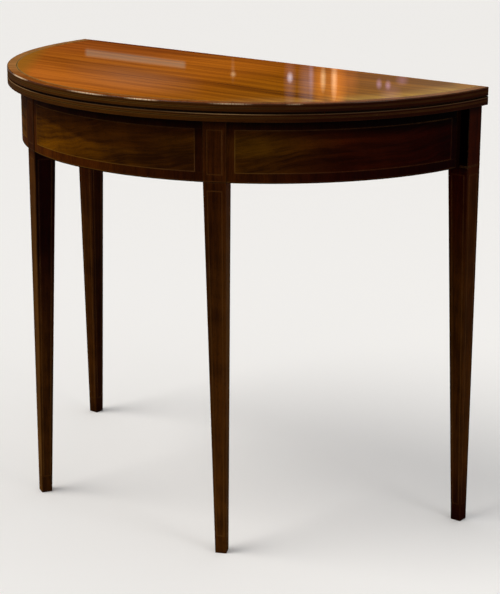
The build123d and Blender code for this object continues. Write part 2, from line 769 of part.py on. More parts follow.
with BuildPart() as gate_leg_left_dark_string:
    mirror(gate_leg_right_dark_string.part, about=Plane.YZ)
gate_leg_left_dark_string.part.label = "gate_leg_left_dark_string"

with BuildPart() as gate_pin_right:
    with BuildSketch(Plane.XY.offset(gate_rail_bottom)):
        with Locations((gate_pin_x, gate_pin_y)):
            Circle(gate_pin_radius)
    extrude(amount=gate_rail_height)
gate_pin_right.part.label = "gate_pin_right"

with BuildPart() as gate_pin_left:
    mirror(gate_pin_right.part, about=Plane.YZ)
gate_pin_left.part.label = "gate_pin_left"

# Screws of the carcase
with BuildPart() as knuckle_block_screws:
    for seat in knuckle_block_seats:
        add(countersunk_screw(seat, screw_radius, screw_head_radius, block_screw_length))
knuckle_block_screws.part.label = "knuckle_block_screws"

with BuildPart() as pocket_screws:
    for seat in frieze_pockets + rail_pockets:
        add(countersunk_screw(seat, screw_radius, screw_head_radius, pocket_screw_length))
pocket_screws.part.label = "pocket_screws"

with BuildPart() as bearer_screws:
    for seat in bearer_seats:
        add(countersunk_screw(seat, screw_radius, screw_head_radius, bearer_screw_length))
bearer_screws.part.label = "bearer_screws"

# Medial bearer from the back rail to the frieze
with BuildPart() as medial_bearer:
    with BuildSketch(Plane.XY.offset(bearer_bottom)) as bearer_plan:
        with Locations((0, frieze_end_y)):
            Rectangle(bearer_width, leaf_radius, align=(Align.CENTER, Align.MAX))
        add(half_round(core_inner - glue_line, 0), mode=Mode.INTERSECT)
    extrude(amount=bearer_height)
    add(bearer_lap(frieze_end_y, 1, 0))
    add(bearer_lap(bearer_front_y, -1, 0))
    with Locations(*bearer_seats):
        CounterSinkHole(screw_radius + screw_clearance, screw_head_radius + screw_clearance,
                        bearer_screw_length, countersink_angle)
    for seat in bearer_seats:
        with BuildSketch(seat):
            Circle(bearer_bore_radius)
        extrude(amount=bearer_height, mode=Mode.SUBTRACT)
medial_bearer.part.label = "medial_bearer"

# Glue blocks in the angle of the frieze and the lower leaf, and in the two back corners
with BuildPart() as glue_blocks:
    for angle in glue_block_angles:
        for side in (-1, 1):
            with BuildSketch(radial_plane(side * angle, underside - glue_block_section)):
                with Locations((0, -core_inner)):
                    Rectangle(glue_block_length, 2 * glue_block_section)
            extrude(amount=glue_block_section)
    with BuildSketch(Plane.XY.offset(frieze_bottom)):
        for side in (-1, 1):
            with Locations((side * core_inner, frieze_end_y)):
                Rectangle(2 * corner_block_section, corner_block_section, align=(Align.CENTER, Align.MAX))
    extrude(amount=frieze_height)
    extrude(half_round(core_inner - glue_line, frieze_bottom), amount=frieze_height, mode=Mode.INTERSECT)
glue_blocks.part.label = "glue_blocks"

os.makedirs("parts", exist_ok=True)
finished = (
    lower_leaf, upper_leaf, top_crossband, top_light_strings, top_dark_string,
    front_leg_right, front_leg_left, front_leg_right_strings, front_leg_left_strings,
    frieze_crossband, frieze_strings, frieze_base_dark_string, frieze_field_veneers, back_rail, knuckle_block,
    gate_rail_right, gate_rail_left, gate_leg_right, gate_leg_left,
    gate_leg_right_strings, gate_leg_left_strings, gate_leg_right_dark_string, gate_leg_left_dark_string,
    gate_pin_right, gate_pin_left,
    knuckle_block_screws, pocket_screws, bearer_screws, medial_bearer, glue_blocks,
)
for piece in finished:
    export_step(piece.part, f"parts/{piece.part.label}.step")

edge_pieces = {
    "lower_leaf_edge_strings": lower_edge_light,
    "lower_leaf_edge_dark_string": lower_edge_dark,
    "upper_leaf_edge_strings": upper_edge_light,
    "upper_leaf_edge_dark_string": upper_edge_dark,
}
for name, shape in (hinge_pieces | courses | edge_pieces).items():
    shape.label = name
    export_step(shape, f"parts/{name}.step")
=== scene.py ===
# %% [markdown]
# # A half-round fold-over tea table
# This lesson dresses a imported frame: every solid of the table is already in its place, in metres, and
# here it gets its finished shapes, woods, metals and light. The table has two half-round mahogany
# leaves hinged at the straight back, a bowed inlaid frieze, four tapered legs and two swinging gates.
# Each step says what the real piece is, how it could be made, and why one way was chosen.

# %% Load the frame
import json
from math import atan2, cos, hypot, pi, radians, sin

import bmesh
import bpy
from mathutils import Matrix, Vector


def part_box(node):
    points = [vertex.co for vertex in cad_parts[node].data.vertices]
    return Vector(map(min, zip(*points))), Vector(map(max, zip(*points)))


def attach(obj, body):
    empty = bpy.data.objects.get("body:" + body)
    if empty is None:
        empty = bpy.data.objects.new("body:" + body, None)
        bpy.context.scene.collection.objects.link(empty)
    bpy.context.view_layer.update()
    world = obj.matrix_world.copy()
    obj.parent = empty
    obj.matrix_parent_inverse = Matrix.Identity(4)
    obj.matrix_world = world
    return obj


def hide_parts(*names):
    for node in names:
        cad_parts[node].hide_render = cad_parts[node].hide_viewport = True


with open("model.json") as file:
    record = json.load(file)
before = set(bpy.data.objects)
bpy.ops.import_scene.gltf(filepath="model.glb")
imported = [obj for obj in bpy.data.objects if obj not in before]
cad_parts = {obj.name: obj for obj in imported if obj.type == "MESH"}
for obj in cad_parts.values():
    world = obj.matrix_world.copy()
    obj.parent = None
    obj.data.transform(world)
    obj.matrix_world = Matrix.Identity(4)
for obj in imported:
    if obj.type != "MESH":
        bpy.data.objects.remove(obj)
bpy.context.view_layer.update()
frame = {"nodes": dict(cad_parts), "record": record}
nodes = frame["nodes"]
body_of_node = {node: body for body, members in frame["record"]["behaviour"]["bodies"].items()
                for node in members}

# %% [markdown]
# ## The sizes that the looks need
# A maker reads sizes off the finished carcase instead of writing them down twice. The same is done
# here: the radius of the bow, its centre and all levels come from the boxes of the frame's solids.

# %% Read the sizes off the frame
MM = 0.001
leaf_low, leaf_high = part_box("upper_leaf")
lower_low, lower_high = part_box("lower_leaf")
inlay_low, inlay_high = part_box("top_crossband")
leaf_radius = leaf_high.x
back_y = leaf_high.y
bow_y = leaf_low.y + leaf_radius
leaf_return = back_y - bow_y
top_z = inlay_high.z
underside = lower_low.z
meeting = (leaf_low.z + lower_high.z) / 2
frieze_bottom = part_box("frieze_base_dark_string")[0].z
string_width, string_depth = 1.0 * MM, 0.8 * MM
print("leaf radius", round(leaf_radius / MM, 1), "bow centre y", round(bow_y / MM, 1))

# %% [markdown]
# ## The camera
# The photograph was taken from the right front corner, a little above the top, with a long lens. The
# camera stands on a line from the table, turned 39 degrees to the right of straight ahead and lifted
# 16 degrees, and looks back along it. Its lens is chosen so that the long side of the picture covers
# the whole table, and a touch of roll follows the hand that held it.

# %% Set the camera
camera_turn, camera_lift, camera_roll = radians(39.22), radians(15.88), radians(0.18)
camera_distance = 3.1704
camera_target = Vector((-0.0400, 0.2252, 0.3047))
toward_camera = Vector((sin(camera_turn) * cos(camera_lift), -cos(camera_turn) * cos(camera_lift),
                        sin(camera_lift)))
camera_data = bpy.data.cameras.new("camera")
camera_data.sensor_width = 36.0
camera_data.lens = 105.33
camera_data.clip_end = 200.0
camera = bpy.data.objects.new("camera", camera_data)
bpy.context.scene.collection.objects.link(camera)
camera.location = camera_target + toward_camera * camera_distance
camera.rotation_mode = "QUATERNION"
look = (-toward_camera).to_track_quat("-Z", "Y")
camera.rotation_quaternion = look @ Matrix.Rotation(camera_roll, 3, "Z").to_quaternion()
bpy.context.scene.camera = camera
print("camera at", [round(v, 3) for v in camera.location])

# %% [markdown]
# ## Wires that can be reckoned with
# Shader trees and geometry trees are both boxes and wires. Here a wire knows its tree, so that plus,
# minus, times and divided by place the node that does the sum. Each later step then reads as a short
# formula for the effect it makes.

# %% Helpers for placing nodes
class Wire:
    """An output of a node. Sums and mixes on it place new nodes and give their outputs."""

    def __init__(self, tree, socket):
        self.tree, self.socket = tree, socket

    def reckon(self, operation, first, second=0.0, third=0.0, clamp=False):
        return take(self.tree, 0, "ShaderNodeMath", {0: first, 1: second, 2: third},
                    operation=operation, use_clamp=clamp)

    def __add__(self, other):
        return self.reckon("ADD", self, other)

    def __sub__(self, other):
        return self.reckon("SUBTRACT", self, other)

    def __rsub__(self, other):
        return self.reckon("SUBTRACT", other, self)

    def __mul__(self, other):
        return self.reckon("MULTIPLY", self, other)

    def __truediv__(self, other):
        return self.reckon("DIVIDE", self, other)

    def __rtruediv__(self, other):
        return self.reckon("DIVIDE", other, self)

    def __abs__(self):
        return self.reckon("ABSOLUTE", self)

    def spread(self, from_low, from_high, to_low=0.0, to_high=1.0):
        """The number taken from one range to another and held inside it."""
        return take(self.tree, 0, "ShaderNodeMapRange",
                    {0: self, 1: from_low, 2: from_high, 3: to_low, 4: to_high}, clamp=True)

    def vector(self, operation, other=(0, 0, 0), output=0):
        """A sum on vectors."""
        return take(self.tree, output, "ShaderNodeVectorMath", {0: self, 1: other}, operation=operation)

    def parts(self):
        """The three numbers of a vector."""
        split = place(self.tree, "ShaderNodeSeparateXYZ", {0: self})
        return [Wire(self.tree, output) for output in split.outputs]

    def tinted(self, share, tone):
        """The colour multiplied by a tone, where the share is full."""
        return blend(self.tree, share, self, tone, "MULTIPLY")

    def covered(self, share, paint):
        """The colour hidden by another, where the share is full."""
        return blend(self.tree, share, self, paint)


def connect(node, values):
    """Connects or sets a node's inputs."""
    for key, value in values.items():
        if isinstance(value, Wire):
            value.tree.links.new(value.socket, node.inputs[key])
        else:
            node.inputs[key].default_value = value


def place(tree, kind, values=None, **fields):
    """Adds a node, sets its fields, and connects or sets its inputs."""
    made = tree.nodes.new(kind)
    for field, value in fields.items():
        setattr(made, field, value)
    connect(made, values or {})
    return made


def take(tree, output, kind, values=None, **fields):
    """One output of a new node."""
    return Wire(tree, place(tree, kind, values, **fields).outputs[output])


def blend(tree, share, first, second, how="MIX"):
    """Two colours mixed by a share. A plain colour is given as red, green and blue."""
    first, second = (end if isinstance(end, Wire) else (*end, 1) for end in (first, second))
    # In a mix of colours, input 0 is the share, 6 and 7 are the colours, and output 2 is the result
    return take(tree, 2, "ShaderNodeMix", {0: share, 6: first, 7: second}, data_type="RGBA",
                blend_type=how, clamp_factor=True)


def joined(tree, x, y, z):
    """Three numbers put together as a vector."""
    return take(tree, 0, "ShaderNodeCombineXYZ", {0: x, 1: y, 2: z})


def noise(where, scale, detail, roughness=0.5):
    """Smooth noise looked up at a place."""
    return take(where.tree, "Fac", "ShaderNodeTexNoise",
                {"Vector": where, "Scale": scale, "Detail": detail, "Roughness": roughness})


def new_group(name, ins, outs, kind="ShaderNodeTree"):
    """An empty node group, with the wires of its named inputs and the node that takes its outputs."""
    group = bpy.data.node_groups.new(name, kind)
    for label, socket, default in ins:
        made = group.interface.new_socket(name=label, in_out="INPUT", socket_type=socket)
        if default is not None:
            made.default_value = default
    for label, socket in outs:
        group.interface.new_socket(name=label, in_out="OUTPUT", socket_type=socket)
    entry = group.nodes.new("NodeGroupInput").outputs
    wires = {label: Wire(group, entry[label]) for label, _, _ in ins}
    return group, wires, group.nodes.new("NodeGroupOutput")


print("helpers ready")

# %% [markdown]
# ## Effect 1: the figure of the wood
# Sawn wood shows broad bands of tone, fine streaks, fibres and, in mahogany, short open pores. All
# of them run along the grain, so the group squeezes space across the grain and looks noise up there.
# A slow noise bends the lines first, because no tree grows straight. One group serves every wood
# here, and each material gives it its own lengths and widths.

# %% Build the figure group
number, vector = "NodeSocketFloat", "NodeSocketVector"
figure, given, figure_end = new_group(
    "wood figure",
    [("Vector", vector, None), ("Stretch", number, 0.05), ("Bands", number, 18.0), ("Streaks", number, 160.0),
     ("Wander", number, 0.02), ("Curl", number, 0.0), ("Contrast", number, 1.0)],
    [("Tone", number), ("Streak", number), ("Fibre", number), ("Pores", number), ("Curl", number)])
x, y, z = given["Vector"].parts()
bend = noise(given["Vector"], 3.2, 2.0) + noise(given["Vector"], 17.0, 1.0) * 0.18
across = y + (bend - 0.59) * given["Wander"]
lengthwise = joined(figure, x * given["Stretch"], across, z)
half_range = 0.20 / given["Contrast"]
darkest, lightest = 0.5 - half_range, half_range + 0.5
curl = noise(joined(figure, x + y * 0.35, y * 0.22, z), 34.0, 2.0, 0.4)
connect(figure_end, {
    "Tone": noise(lengthwise, given["Bands"], 3.0, 0.55).spread(darkest, lightest),
    "Streak": noise(lengthwise, given["Streaks"], 4.0, 0.6).spread(darkest, lightest),
    "Fibre": noise(lengthwise, 1400.0, 2.0),
    "Pores": noise(joined(figure, x * 0.10, across, z), 1700.0, 0.0).spread(0.66, 0.74),
    "Curl": curl.spread(0.35, 0.65) * given["Curl"]})
print("group:", figure.name, len(figure.nodes), "nodes")

# %% [markdown]
# ## Effect 2: worn arrises and settled grime
# Two centuries of dusters rub an edge pale, and push wax and dirt into every inner corner. A rounded
# normal differs from the true one only near an edge, so comparing the two gives a mask of edges
# without any painted map. Occlusion gives the inner corners.

# %% Build the wear group
wear, given, wear_end = new_group(
    "arris wear", [("Vector", vector, None), ("Width", number, 0.0015), ("Patchy", number, 0.5)],
    [("Rubbed", number), ("Grime", number)])
rounded = take(wear, 0, "ShaderNodeBevel", {"Radius": given["Width"]}, samples=4)
agree = rounded.vector("DOT_PRODUCT", take(wear, "Normal", "ShaderNodeNewGeometry"), "Value")
patch = noise(given["Vector"], 26.0, 4.0, 0.65).spread(0.42, 0.62)
kept = patch * given["Patchy"] + (1.0 - given["Patchy"])
hollow = take(wear, "AO", "ShaderNodeAmbientOcclusion", {"Distance": 12 * MM}, samples=4, only_local=False)
connect(wear_end, {"Rubbed": agree.spread(0.99, 0.80) * kept, "Grime": hollow.spread(0.75, 0.25)})
print("group:", wear.name)

# %% [markdown]
# ## Effect 3: the polish
# French polish is rubbed on by hand in many thin coats. It is glossy, but never like plate glass: it
# carries faint smears and a slow ripple that makes reflections shimmer. The group gives the smears
# as roughness, and the ripple as a height.

# %% Build the polish group
polish, given, polish_end = new_group(
    "hand polish", [("Vector", vector, None), ("Gloss", number, 0.16), ("Smear", number, 0.10)],
    [("Roughness", number), ("Ripple", number), ("Smear", number)])
smear = noise(given["Vector"].vector("MULTIPLY", (3.0, 9.0, 9.0)), 2.0, 5.0, 0.6).spread(0.35, 0.7)
connect(polish_end, {"Roughness": given["Gloss"] + smear * given["Smear"], "Smear": smear,
                     "Ripple": noise(given["Vector"], 38.0, 1.5)})
print("group:", polish.name)

# %% [markdown]
# ## The woods
# Every wood on the table is made from the same three effects. What changes from wood to wood is the
# pair of colours between light and dark grain, the size of the figure, the direction it runs in, and
# how much polish it carries. The direction is set by the order in which the coordinates are read: the
# first is always along the grain. Bands that go round the bow read an attribute of their own, the
# distance along, out and up, so that their grain bends with them. All the shine is in the clear coat.

# %% Helper for a wood
def coordinates(tree, source, order, turn):
    """A piece's own coordinates, and the same put in order so that the first runs along the grain."""
    if source == "object":
        read = take(tree, "Object", "ShaderNodeTexCoord")
    else:
        read = take(tree, "Vector", "ShaderNodeAttribute", attribute_name=source)
    axes = dict(zip("xyz", read.parts()))
    grain = joined(tree, *(axes[axis] for axis in order))
    if turn:
        grain = take(tree, 0, "ShaderNodeMapping", {"Vector": grain, "Rotation": (0, 0, radians(turn))})
    return read, grain


def use_group(tree, group, values):
    """A node group placed in a material with its own values, as wires by name."""
    made = place(tree, "ShaderNodeGroup", values, node_tree=group)
    return {output.name: Wire(tree, output) for output in made.outputs}


def new_material(name):
    """A new material, with its tree and its shader."""
    material = bpy.data.materials.new(name)
    material.use_nodes = True
    return material, material.node_tree, material.node_tree.nodes["Principled BSDF"]


def wood(name, light, dark, deep, source="object", order="xyz", turn=0.0, stretch=0.05, bands=18.0,
         streaks=160.0, wander=0.02, curl=0.0, contrast=1.0, gloss=0.2, smear=0.1, coat=0.02, coat_gloss=0.16,
         ripple=0.2, relief=1.0, pores=0.5, grime=0.5, rubbed=(0.3, 0.12, 0.04), rub=0.5, wear_width=1.5 * MM,
         tint=None, over=None):
    """A polished or bare wood. The colours are linear: light and dark grain, and the pores' deep brown."""
    material, tree, shader = new_material(name)
    read, grain = coordinates(tree, source, order, turn)
    made = use_group(tree, figure, {"Vector": grain, "Stretch": stretch, "Bands": bands, "Streaks": streaks,
                                    "Wander": wander, "Curl": curl, "Contrast": contrast})
    worn = use_group(tree, wear, {"Vector": read, "Width": wear_width, "Patchy": 0.6})
    coats = use_group(tree, polish, {"Vector": grain, "Gloss": gloss, "Smear": smear})
    tone_share, streak_share, fibre_share = 0.50, 0.40, 0.10
    share = made["Tone"] * tone_share + made["Streak"] * streak_share + made["Fibre"] * fibre_share
    share = share.reckon("SUBTRACT", share, made["Curl"], clamp=True)
    shade = blend(tree, share, dark, light)
    if tint:
        shade = tint(read, shade)
    shade = shade.covered(made["Pores"] * pores, deep).covered(worn["Grime"] * grime, deep)
    shade = shade.covered(worn["Rubbed"] * rub, rubbed)
    if over:
        shade = over(shade)
    pore_depth, fibre_height = -0.35 * pores * relief, 0.10 * relief
    height = made["Pores"] * pore_depth + made["Fibre"] * fibre_height + coats["Ripple"] * ripple
    rubbed_rough, smeared_coat = 0.15, -0.3 * coat
    connect(shader, {
        "Base Color": shade, "Roughness": coats["Roughness"] + worn["Rubbed"] * rubbed_rough,
        "Normal": take(tree, 0, "ShaderNodeBump", {"Strength": 0.5, "Distance": 0.4 * MM, "Height": height}),
        "Specular IOR Level": 0.0, "Coat Weight": coats["Smear"] * smeared_coat + coat,
        "Coat Roughness": coat_gloss})
    return material


print("wood helper ready")

# %% [markdown]
# ## The mahogany of the leaves
# The top is one wide board of straight mahogany, its grain along the back edge. A slow drift of tint
# runs along the board, orange-red and brighter at the left end and front, browner gold at the right: it
# is partly the board's own colour, faded by sun and polish, and partly painted light. It is the glossiest
# piece of the table.

# %% Make the mahogany of the leaves
def top_drift(read, shade):
    """Bright orange to the left and front and browner to the right, partly the board's own colour and partly
    painted light, and faded to straw near the two ends. The faces between the leaves are shut away from the
    sun, so they keep one even tone."""
    x, y, z = read.parts()
    inner = shade.tinted(1.0, (0.78, 0.74, 0.60))
    for start, end, tone in ((-0.34, 0.04, (0.86, 0.86, 0.62)), (0.03, 0.13, (0.76, 0.80, 0.36)),
                             (0.13, 0.36, (0.74, 0.93, 1.00))):
        shade = shade.tinted(x.spread(start, end), tone)
    shade = shade.tinted(y.spread(0.00, -0.15), (1.12, 1.12, 2.0))
    back_left = y.spread(0.03, 0.12) * x.spread(-0.05, -0.22)
    shade = shade.tinted(back_left, (0.70, 0.61, 0.90))
    from_bow = read.vector("SUBTRACT", (0, bow_y, top_z)).vector("LENGTH", output="Value")
    faded = from_bow.spread(0.378, 0.420) * x.spread(0.20, 0.32)
    shade = shade.tinted(faded, (1.6, 2.25, 14.0))
    slant, straw = 0.82, (0.34, 0.135, 0.012)
    aslant = y * slant + x
    for start, end in ((-0.325, -0.355), (0.560, 0.585)):
        shade = shade.covered(aslant.spread(start, end, 0.0, 0.8), straw)
    return blend(read.tree, z.spread(top_z - 4 * MM, top_z - 2 * MM), inner, shade)


board_figure = {"stretch": 0.030, "bands": 13.0, "wander": 0.035}
top_mahogany = wood("leaf mahogany", (0.60, 0.168, 0.0110), (0.225, 0.051, 0.0034), (0.10, 0.025, 0.006),
                    streaks=80.0, contrast=2.8, coat=0.45, coat_gloss=0.015, ripple=0.55, relief=0.03,
                    pores=0.30, grime=0.3, rubbed=(0.45, 0.20, 0.07), rub=0.3, tint=top_drift, **board_figure)
bare_mahogany = wood("unpolished mahogany", (0.155, 0.052, 0.013), (0.065, 0.020, 0.005),
                     (0.02, 0.007, 0.003), streaks=120.0, contrast=1.6, gloss=0.6, smear=0.2, coat=0.0,
                     pores=0.6, grime=0.8, rubbed=(0.22, 0.10, 0.04), rub=0.3, **board_figure)
print("materials:", top_mahogany.name, bare_mahogany.name)

# %% [markdown]
# The edge of a leaf carries the darkest and the brightest marks of the table: a painted shadow in the
# quirk where the two leaves meet, and painted highlights on the arris. Its tones follow the distance along
# the bow and the level, not an image map.

# %% Make the mahogany of the leaf edges
# Each painted highlight: the middle along the bow, half its length, how bright it gets
highlight_places = ((-0.205, 0.045, 0.9), (0.000, 0.045, 0.75), (0.105, 0.032, 0.8), (0.248, 0.036, 0.42),
               (0.345, 0.014, 0.3))


def painted_rim_highlights(run, where, shade):
    """Painted highlights in five places along the arris, each broken by a noise along the bow."""
    places = [abs(run - middle).spread(half, half * 0.3, 0.0, most) for middle, half, most in highlight_places]
    breaks_per_metre, highlight_colour = 90.0, (0.95, 0.68, 0.42)
    highlight_breaks = take(run.tree, "Fac", "ShaderNodeTexNoise", {"W": run * breaks_per_metre, "Detail": 2.0},
                   noise_dimensions="1D")
    # bright is the share of painted highlight: the five places, on the arris, broken up
    bright = sum(places[1:], places[0]) * where * highlight_breaks.spread(0.36, 0.55, 0.25, 1.0)
    return shade.covered(bright, highlight_colour)


def leaf_edge_tone(read, shade):
    """A painted shadow, black, in the quirk where the two leaves meet; a pale line on the arris just under
    it, partly rubbed wear and partly a painted highlight; painted highlights at the top; and almost black to
    the right. The straight back edge is plain."""
    run, _, level = read.parts()
    behind = take(read.tree, "Object", "ShaderNodeTexCoord").parts()[1]
    on_bow = behind.spread(back_y - 0.5 * MM, back_y - 1.2 * MM)
    plain = shade.tinted(1.0, (0.80, 0.62, 0.60))
    shade = shade.tinted(run.spread(0.10, 0.40), (0.34, 0.18, 0.26))
    # A pale line on the arris under the quirk: partly rubbed wear, partly a painted highlight
    under = (level.spread(meeting - 3.2 * MM, meeting - 2.6 * MM)
             * level.spread(meeting - 1.2 * MM, meeting - 1.9 * MM))
    left, middle = run.spread(-0.12, -0.17), abs(run - 0.24).spread(0.10, 0.01)
    worn = (left + middle).spread(0.0, 1.0, 0.22, 0.95)
    shade = shade.covered(under * worn, (0.22, 0.13, 0.055))
    shade = painted_rim_highlights(run, level.spread(top_z - 2.2 * MM, top_z - 1.7 * MM), shade)
    shade = blend(read.tree, on_bow, plain, shade)
    # Painted shadow in the quirk, weaker at the left end
    shut = abs(level - meeting).spread(2.1 * MM, 1.5 * MM) * run.spread(-0.26, -0.15, 0.25, 1.0)
    return shade.covered(shut, (0.003, 0.0012, 0.0006))


edge_mahogany = wood("leaf edge mahogany", (0.070, 0.023, 0.0020), (0.017, 0.005, 0.0005),
                     (0.006, 0.002, 0.001), source="bow", order="xzy", stretch=0.06, bands=30.0,
                     streaks=300.0, wander=0.01, coat=0.03, ripple=0.4, grime=0.75,
                     rubbed=(0.13, 0.07, 0.02), wear_width=1.2 * MM, tint=leaf_edge_tone)
print("material:", edge_mahogany.name)

# %% [markdown]
# ## Crossbands
# A crossband is a strip of veneer whose grain runs across the strip, so on the top it points to the
# middle of the bow, and on the frieze it stands upright. It is laid in short lengths, and their hair
# joints show as thin dark lines.

# %% Make the crossband of the top
def band_joints(read, shade):
    """Hair joints between the lengths of a crossband, and a change of tone from length to length."""
    length, joint_share = 0.083, 0.0035
    count = read.parts()[0] / length
    line = count.reckon("LESS_THAN", count.reckon("FRACT", count), joint_share)
    lot = take(read.tree, "Value", "ShaderNodeTexWhiteNoise", {"W": count.reckon("FLOOR", count)},
               noise_dimensions="1D")
    return shade.tinted(lot * 0.45, (0.55, 0.55, 0.55)).covered(line * 0.8, (0.012, 0.004, 0.001))


def rim_tone(read, shade):
    """The crossband is pale at the left end and redder along the front. Its rim is darker, and carries
    painted highlights in five places."""
    run, out, level = read.parts()
    shade = band_joints(read, shade)
    for start, end, tone in ((-0.32, -0.20, (0.68, 0.44, 0.20)), (0.16, 0.26, (0.76, 0.92, 2.2)),
                             (0.57, 0.62, (1.15, 1.15, 0.5))):
        shade = shade.tinted(run.spread(start, end), tone)
    rim = out.spread(leaf_radius - 1.9 * MM, leaf_radius - 0.9 * MM)
    shade = shade.tinted(rim, (0.26, 0.20, 0.14))
    # The painted highlights lie on the top of the rounded rim
    highlight_band = (out.spread(leaf_radius - 1.1 * MM, leaf_radius - 0.6 * MM)
               * level.spread(top_z - 1.6 * MM, top_z - 1.2 * MM))
    return painted_rim_highlights(run, highlight_band, shade)


top_crossbanding = wood("top crossbanding", (0.60, 0.260, 0.075), (0.26, 0.112, 0.028), (0.02, 0.007, 0.002),
                        source="bow", order="yxz", stretch=0.12, bands=60.0, streaks=420.0, wander=0.004,
                        contrast=1.3, coat=0.45, coat_gloss=0.012, ripple=0.35, relief=0.1, grime=0.3,
                        rub=0.0, tint=rim_tone)
print("material:", top_crossbanding.name)

# %% [markdown]
# On the frieze one pattern lies over fields, crossbands and strings alike: painted light in a gold glow at
# the left of each panel and in a band across the middle, a painted shadow edge above the glow, painted shade
# near the head and a painted shadow under the leaf, and a deep red towards the right end. One function of
# place tints them all.

# %% Make the crossband of the frieze
def frieze_tones_and_painted_light(read, shade):
    """Painted light in gold at the left of each panel, below a painted shadow edge, and in a band across the
    middle; deep red to the right end; painted shade near the head, and a black painted shadow under the leaf.
    """
    x, _, z = read.parts()
    cloud = noise(read, 7.0, 2.0)
    cloud_height, shadow_edge_drop, shadow_edge_level = 12 * MM, 20 * MM, (0.685, 0.679)
    painted_shadow_edge = (cloud * cloud_height + z + x.spread(-0.14, -0.02, 0.0, shadow_edge_drop)).spread(*shadow_edge_level)
    leg_start, leg_end = 0.215, 0.22
    centre = x.spread(leg_end, leg_start)
    lit = x.spread(0.05, -0.05) * x.spread(-0.20, -0.13)
    low = z.spread(underside - 20 * MM, underside - 80 * MM, 0.55, 1.0)
    left = x.spread(0.16, -0.16) * centre
    right = x.spread(0.38, 0.25) * x.spread(leg_start, leg_end, 0.0, 0.55)
    # A painted gold glow of light at the left of each panel, strongest low down
    painted_glow = (left + right) * low * cloud.spread(0.30, 0.55, 0.6, 1.0)
    shade = shade.tinted(painted_glow, (2.5, 3.0, 0.5))
    # Painted shade above the shadow edge, and painted light below it where the panel is lit
    shade = shade.tinted(centre * (1.0 - painted_shadow_edge), (0.80, 0.70, 0.40))
    shade = shade.tinted(centre * painted_shadow_edge * lit.spread(0.0, 1.0, 0.25, 1.0), (1.75, 1.75, 0.8))
    shade = shade.tinted(x.spread(0.30, 0.43), (0.64, 0.26, 0.30))
    shade = shade.tinted(x.spread(0.46, 0.62), (0.45, 0.16, 0.30))
    # Painted light in a band across the middle of the frieze
    middle = z.spread(0.648, 0.660) * z.spread(0.690, 0.680) * (x.spread(0.10, 0.15) * x.spread(0.50, 0.42))
    shade = shade.tinted(middle, (1.35, 1.60, 1.0))
    # Painted shade near the head, deeper to the right, and a painted shadow under the leaf
    head = z.spread(underside - 34 * MM, underside - 20 * MM)
    shade = shade.tinted(head, (0.72, 0.66, 0.70)).tinted(head * x.spread(0.28, 0.50), (0.34, 0.18, 0.30))
    return shade.tinted(z.spread(underside - 18 * MM, underside - 4 * MM), (0.16, 0.10, 0.12))


def crossband_tone(read, shade):
    """The lengths of the crossband, with the same tones and painted light and shade as the fields, and darker
    overall.
    """
    return frieze_tones_and_painted_light(read, band_joints(read, shade)).tinted(1.0, (0.62, 0.48, 0.55))


def string_tone(read, shade):
    """The frieze's strings take the tones and the painted light and shade of the wood. The one at the foot is
    darker in its lower part, partly a wider black line and partly painted shadow.
    """
    foot = read.parts()[2].spread(frieze_bottom + 1.8 * string_width, frieze_bottom + 1.4 * string_width)
    return frieze_tones_and_painted_light(read, shade).tinted(foot, (0.30, 0.25, 0.25))


frieze_crossbanding = wood("frieze crossbanding", (0.043, 0.0112, 0.0008), (0.013, 0.0028, 0.0003),
                           (0.003, 0.001, 0.0003), source="bow", order="zxy", stretch=0.16, bands=45.0,
                           streaks=350.0, wander=0.004, contrast=1.2, ripple=0.4, grime=0.7,
                           rubbed=(0.10, 0.045, 0.012), rub=0.3, tint=crossband_tone)
print("material:", frieze_crossbanding.name)

# %% [markdown]
# ## The figured fields and the legs
# The fields of the frieze are cut from curly mahogany, whose figure rises from left to right in long
# soft flames. The legs are plainer, and have gone almost black-brown. Both have a satin shine. On a leg
# every face has its own tone and its own painted light and shade, so the tints ask how far a point lies
# from the bow's centre or from the leg's own box.

# %% Tones of the legs
frieze_out = max(hypot(v.co.x, v.co.y - bow_y) for v in nodes["frieze_crossband"].data.vertices)


def painted_head_shade(height, shade):
    """Painted shade: redder and darker at the head, and darkest just under the leaf; lighter towards the
    foot.
    """
    shade = shade.tinted(height.spread(0.44, 0.60), (0.84, 0.68, 0.62))
    return shade.tinted(height.spread(underside - 16 * MM, underside - 3 * MM), (0.22, 0.16, 0.20))


def front_leg_painted_light(read, shade):
    """Painted shade makes the left leg's side faces almost black at the head, and painted light gilds the
    right leg's outer one. The left leg's front face has painted light, and both front faces a painted sheen
    towards the foot."""
    across, _, height = read.parts()
    level = read.vector("SUBTRACT", (0, bow_y, 0)).vector("MULTIPLY", (1, 1, 0))
    side = level.vector("LENGTH", output="Value").spread(frieze_out, frieze_out - 1 * MM)
    shade = painted_head_shade(height, shade)
    # Painted shade on the left leg's side faces, painted light on the right leg's outer side
    shade = shade.tinted(side * height.spread(0.24, 0.46) * across.spread(0.05, -0.05), (0.20, 0.02, 0.11))
    shade = shade.tinted(side * height.spread(0.60, 0.52) * across.spread(0.15, 0.19), (1.35, 1.60, 1.8))
    # Painted light on the left leg's front face, and a painted sheen near both feet
    face = (1.0 - side) * height.spread(0.61, 0.60)
    shade = shade.tinted(face * across.spread(-0.05, -0.15), (1.7, 2.1, 2.4))
    return shade.tinted(face * height.spread(0.20, 0.08), (1.35, 1.45, 1.8))


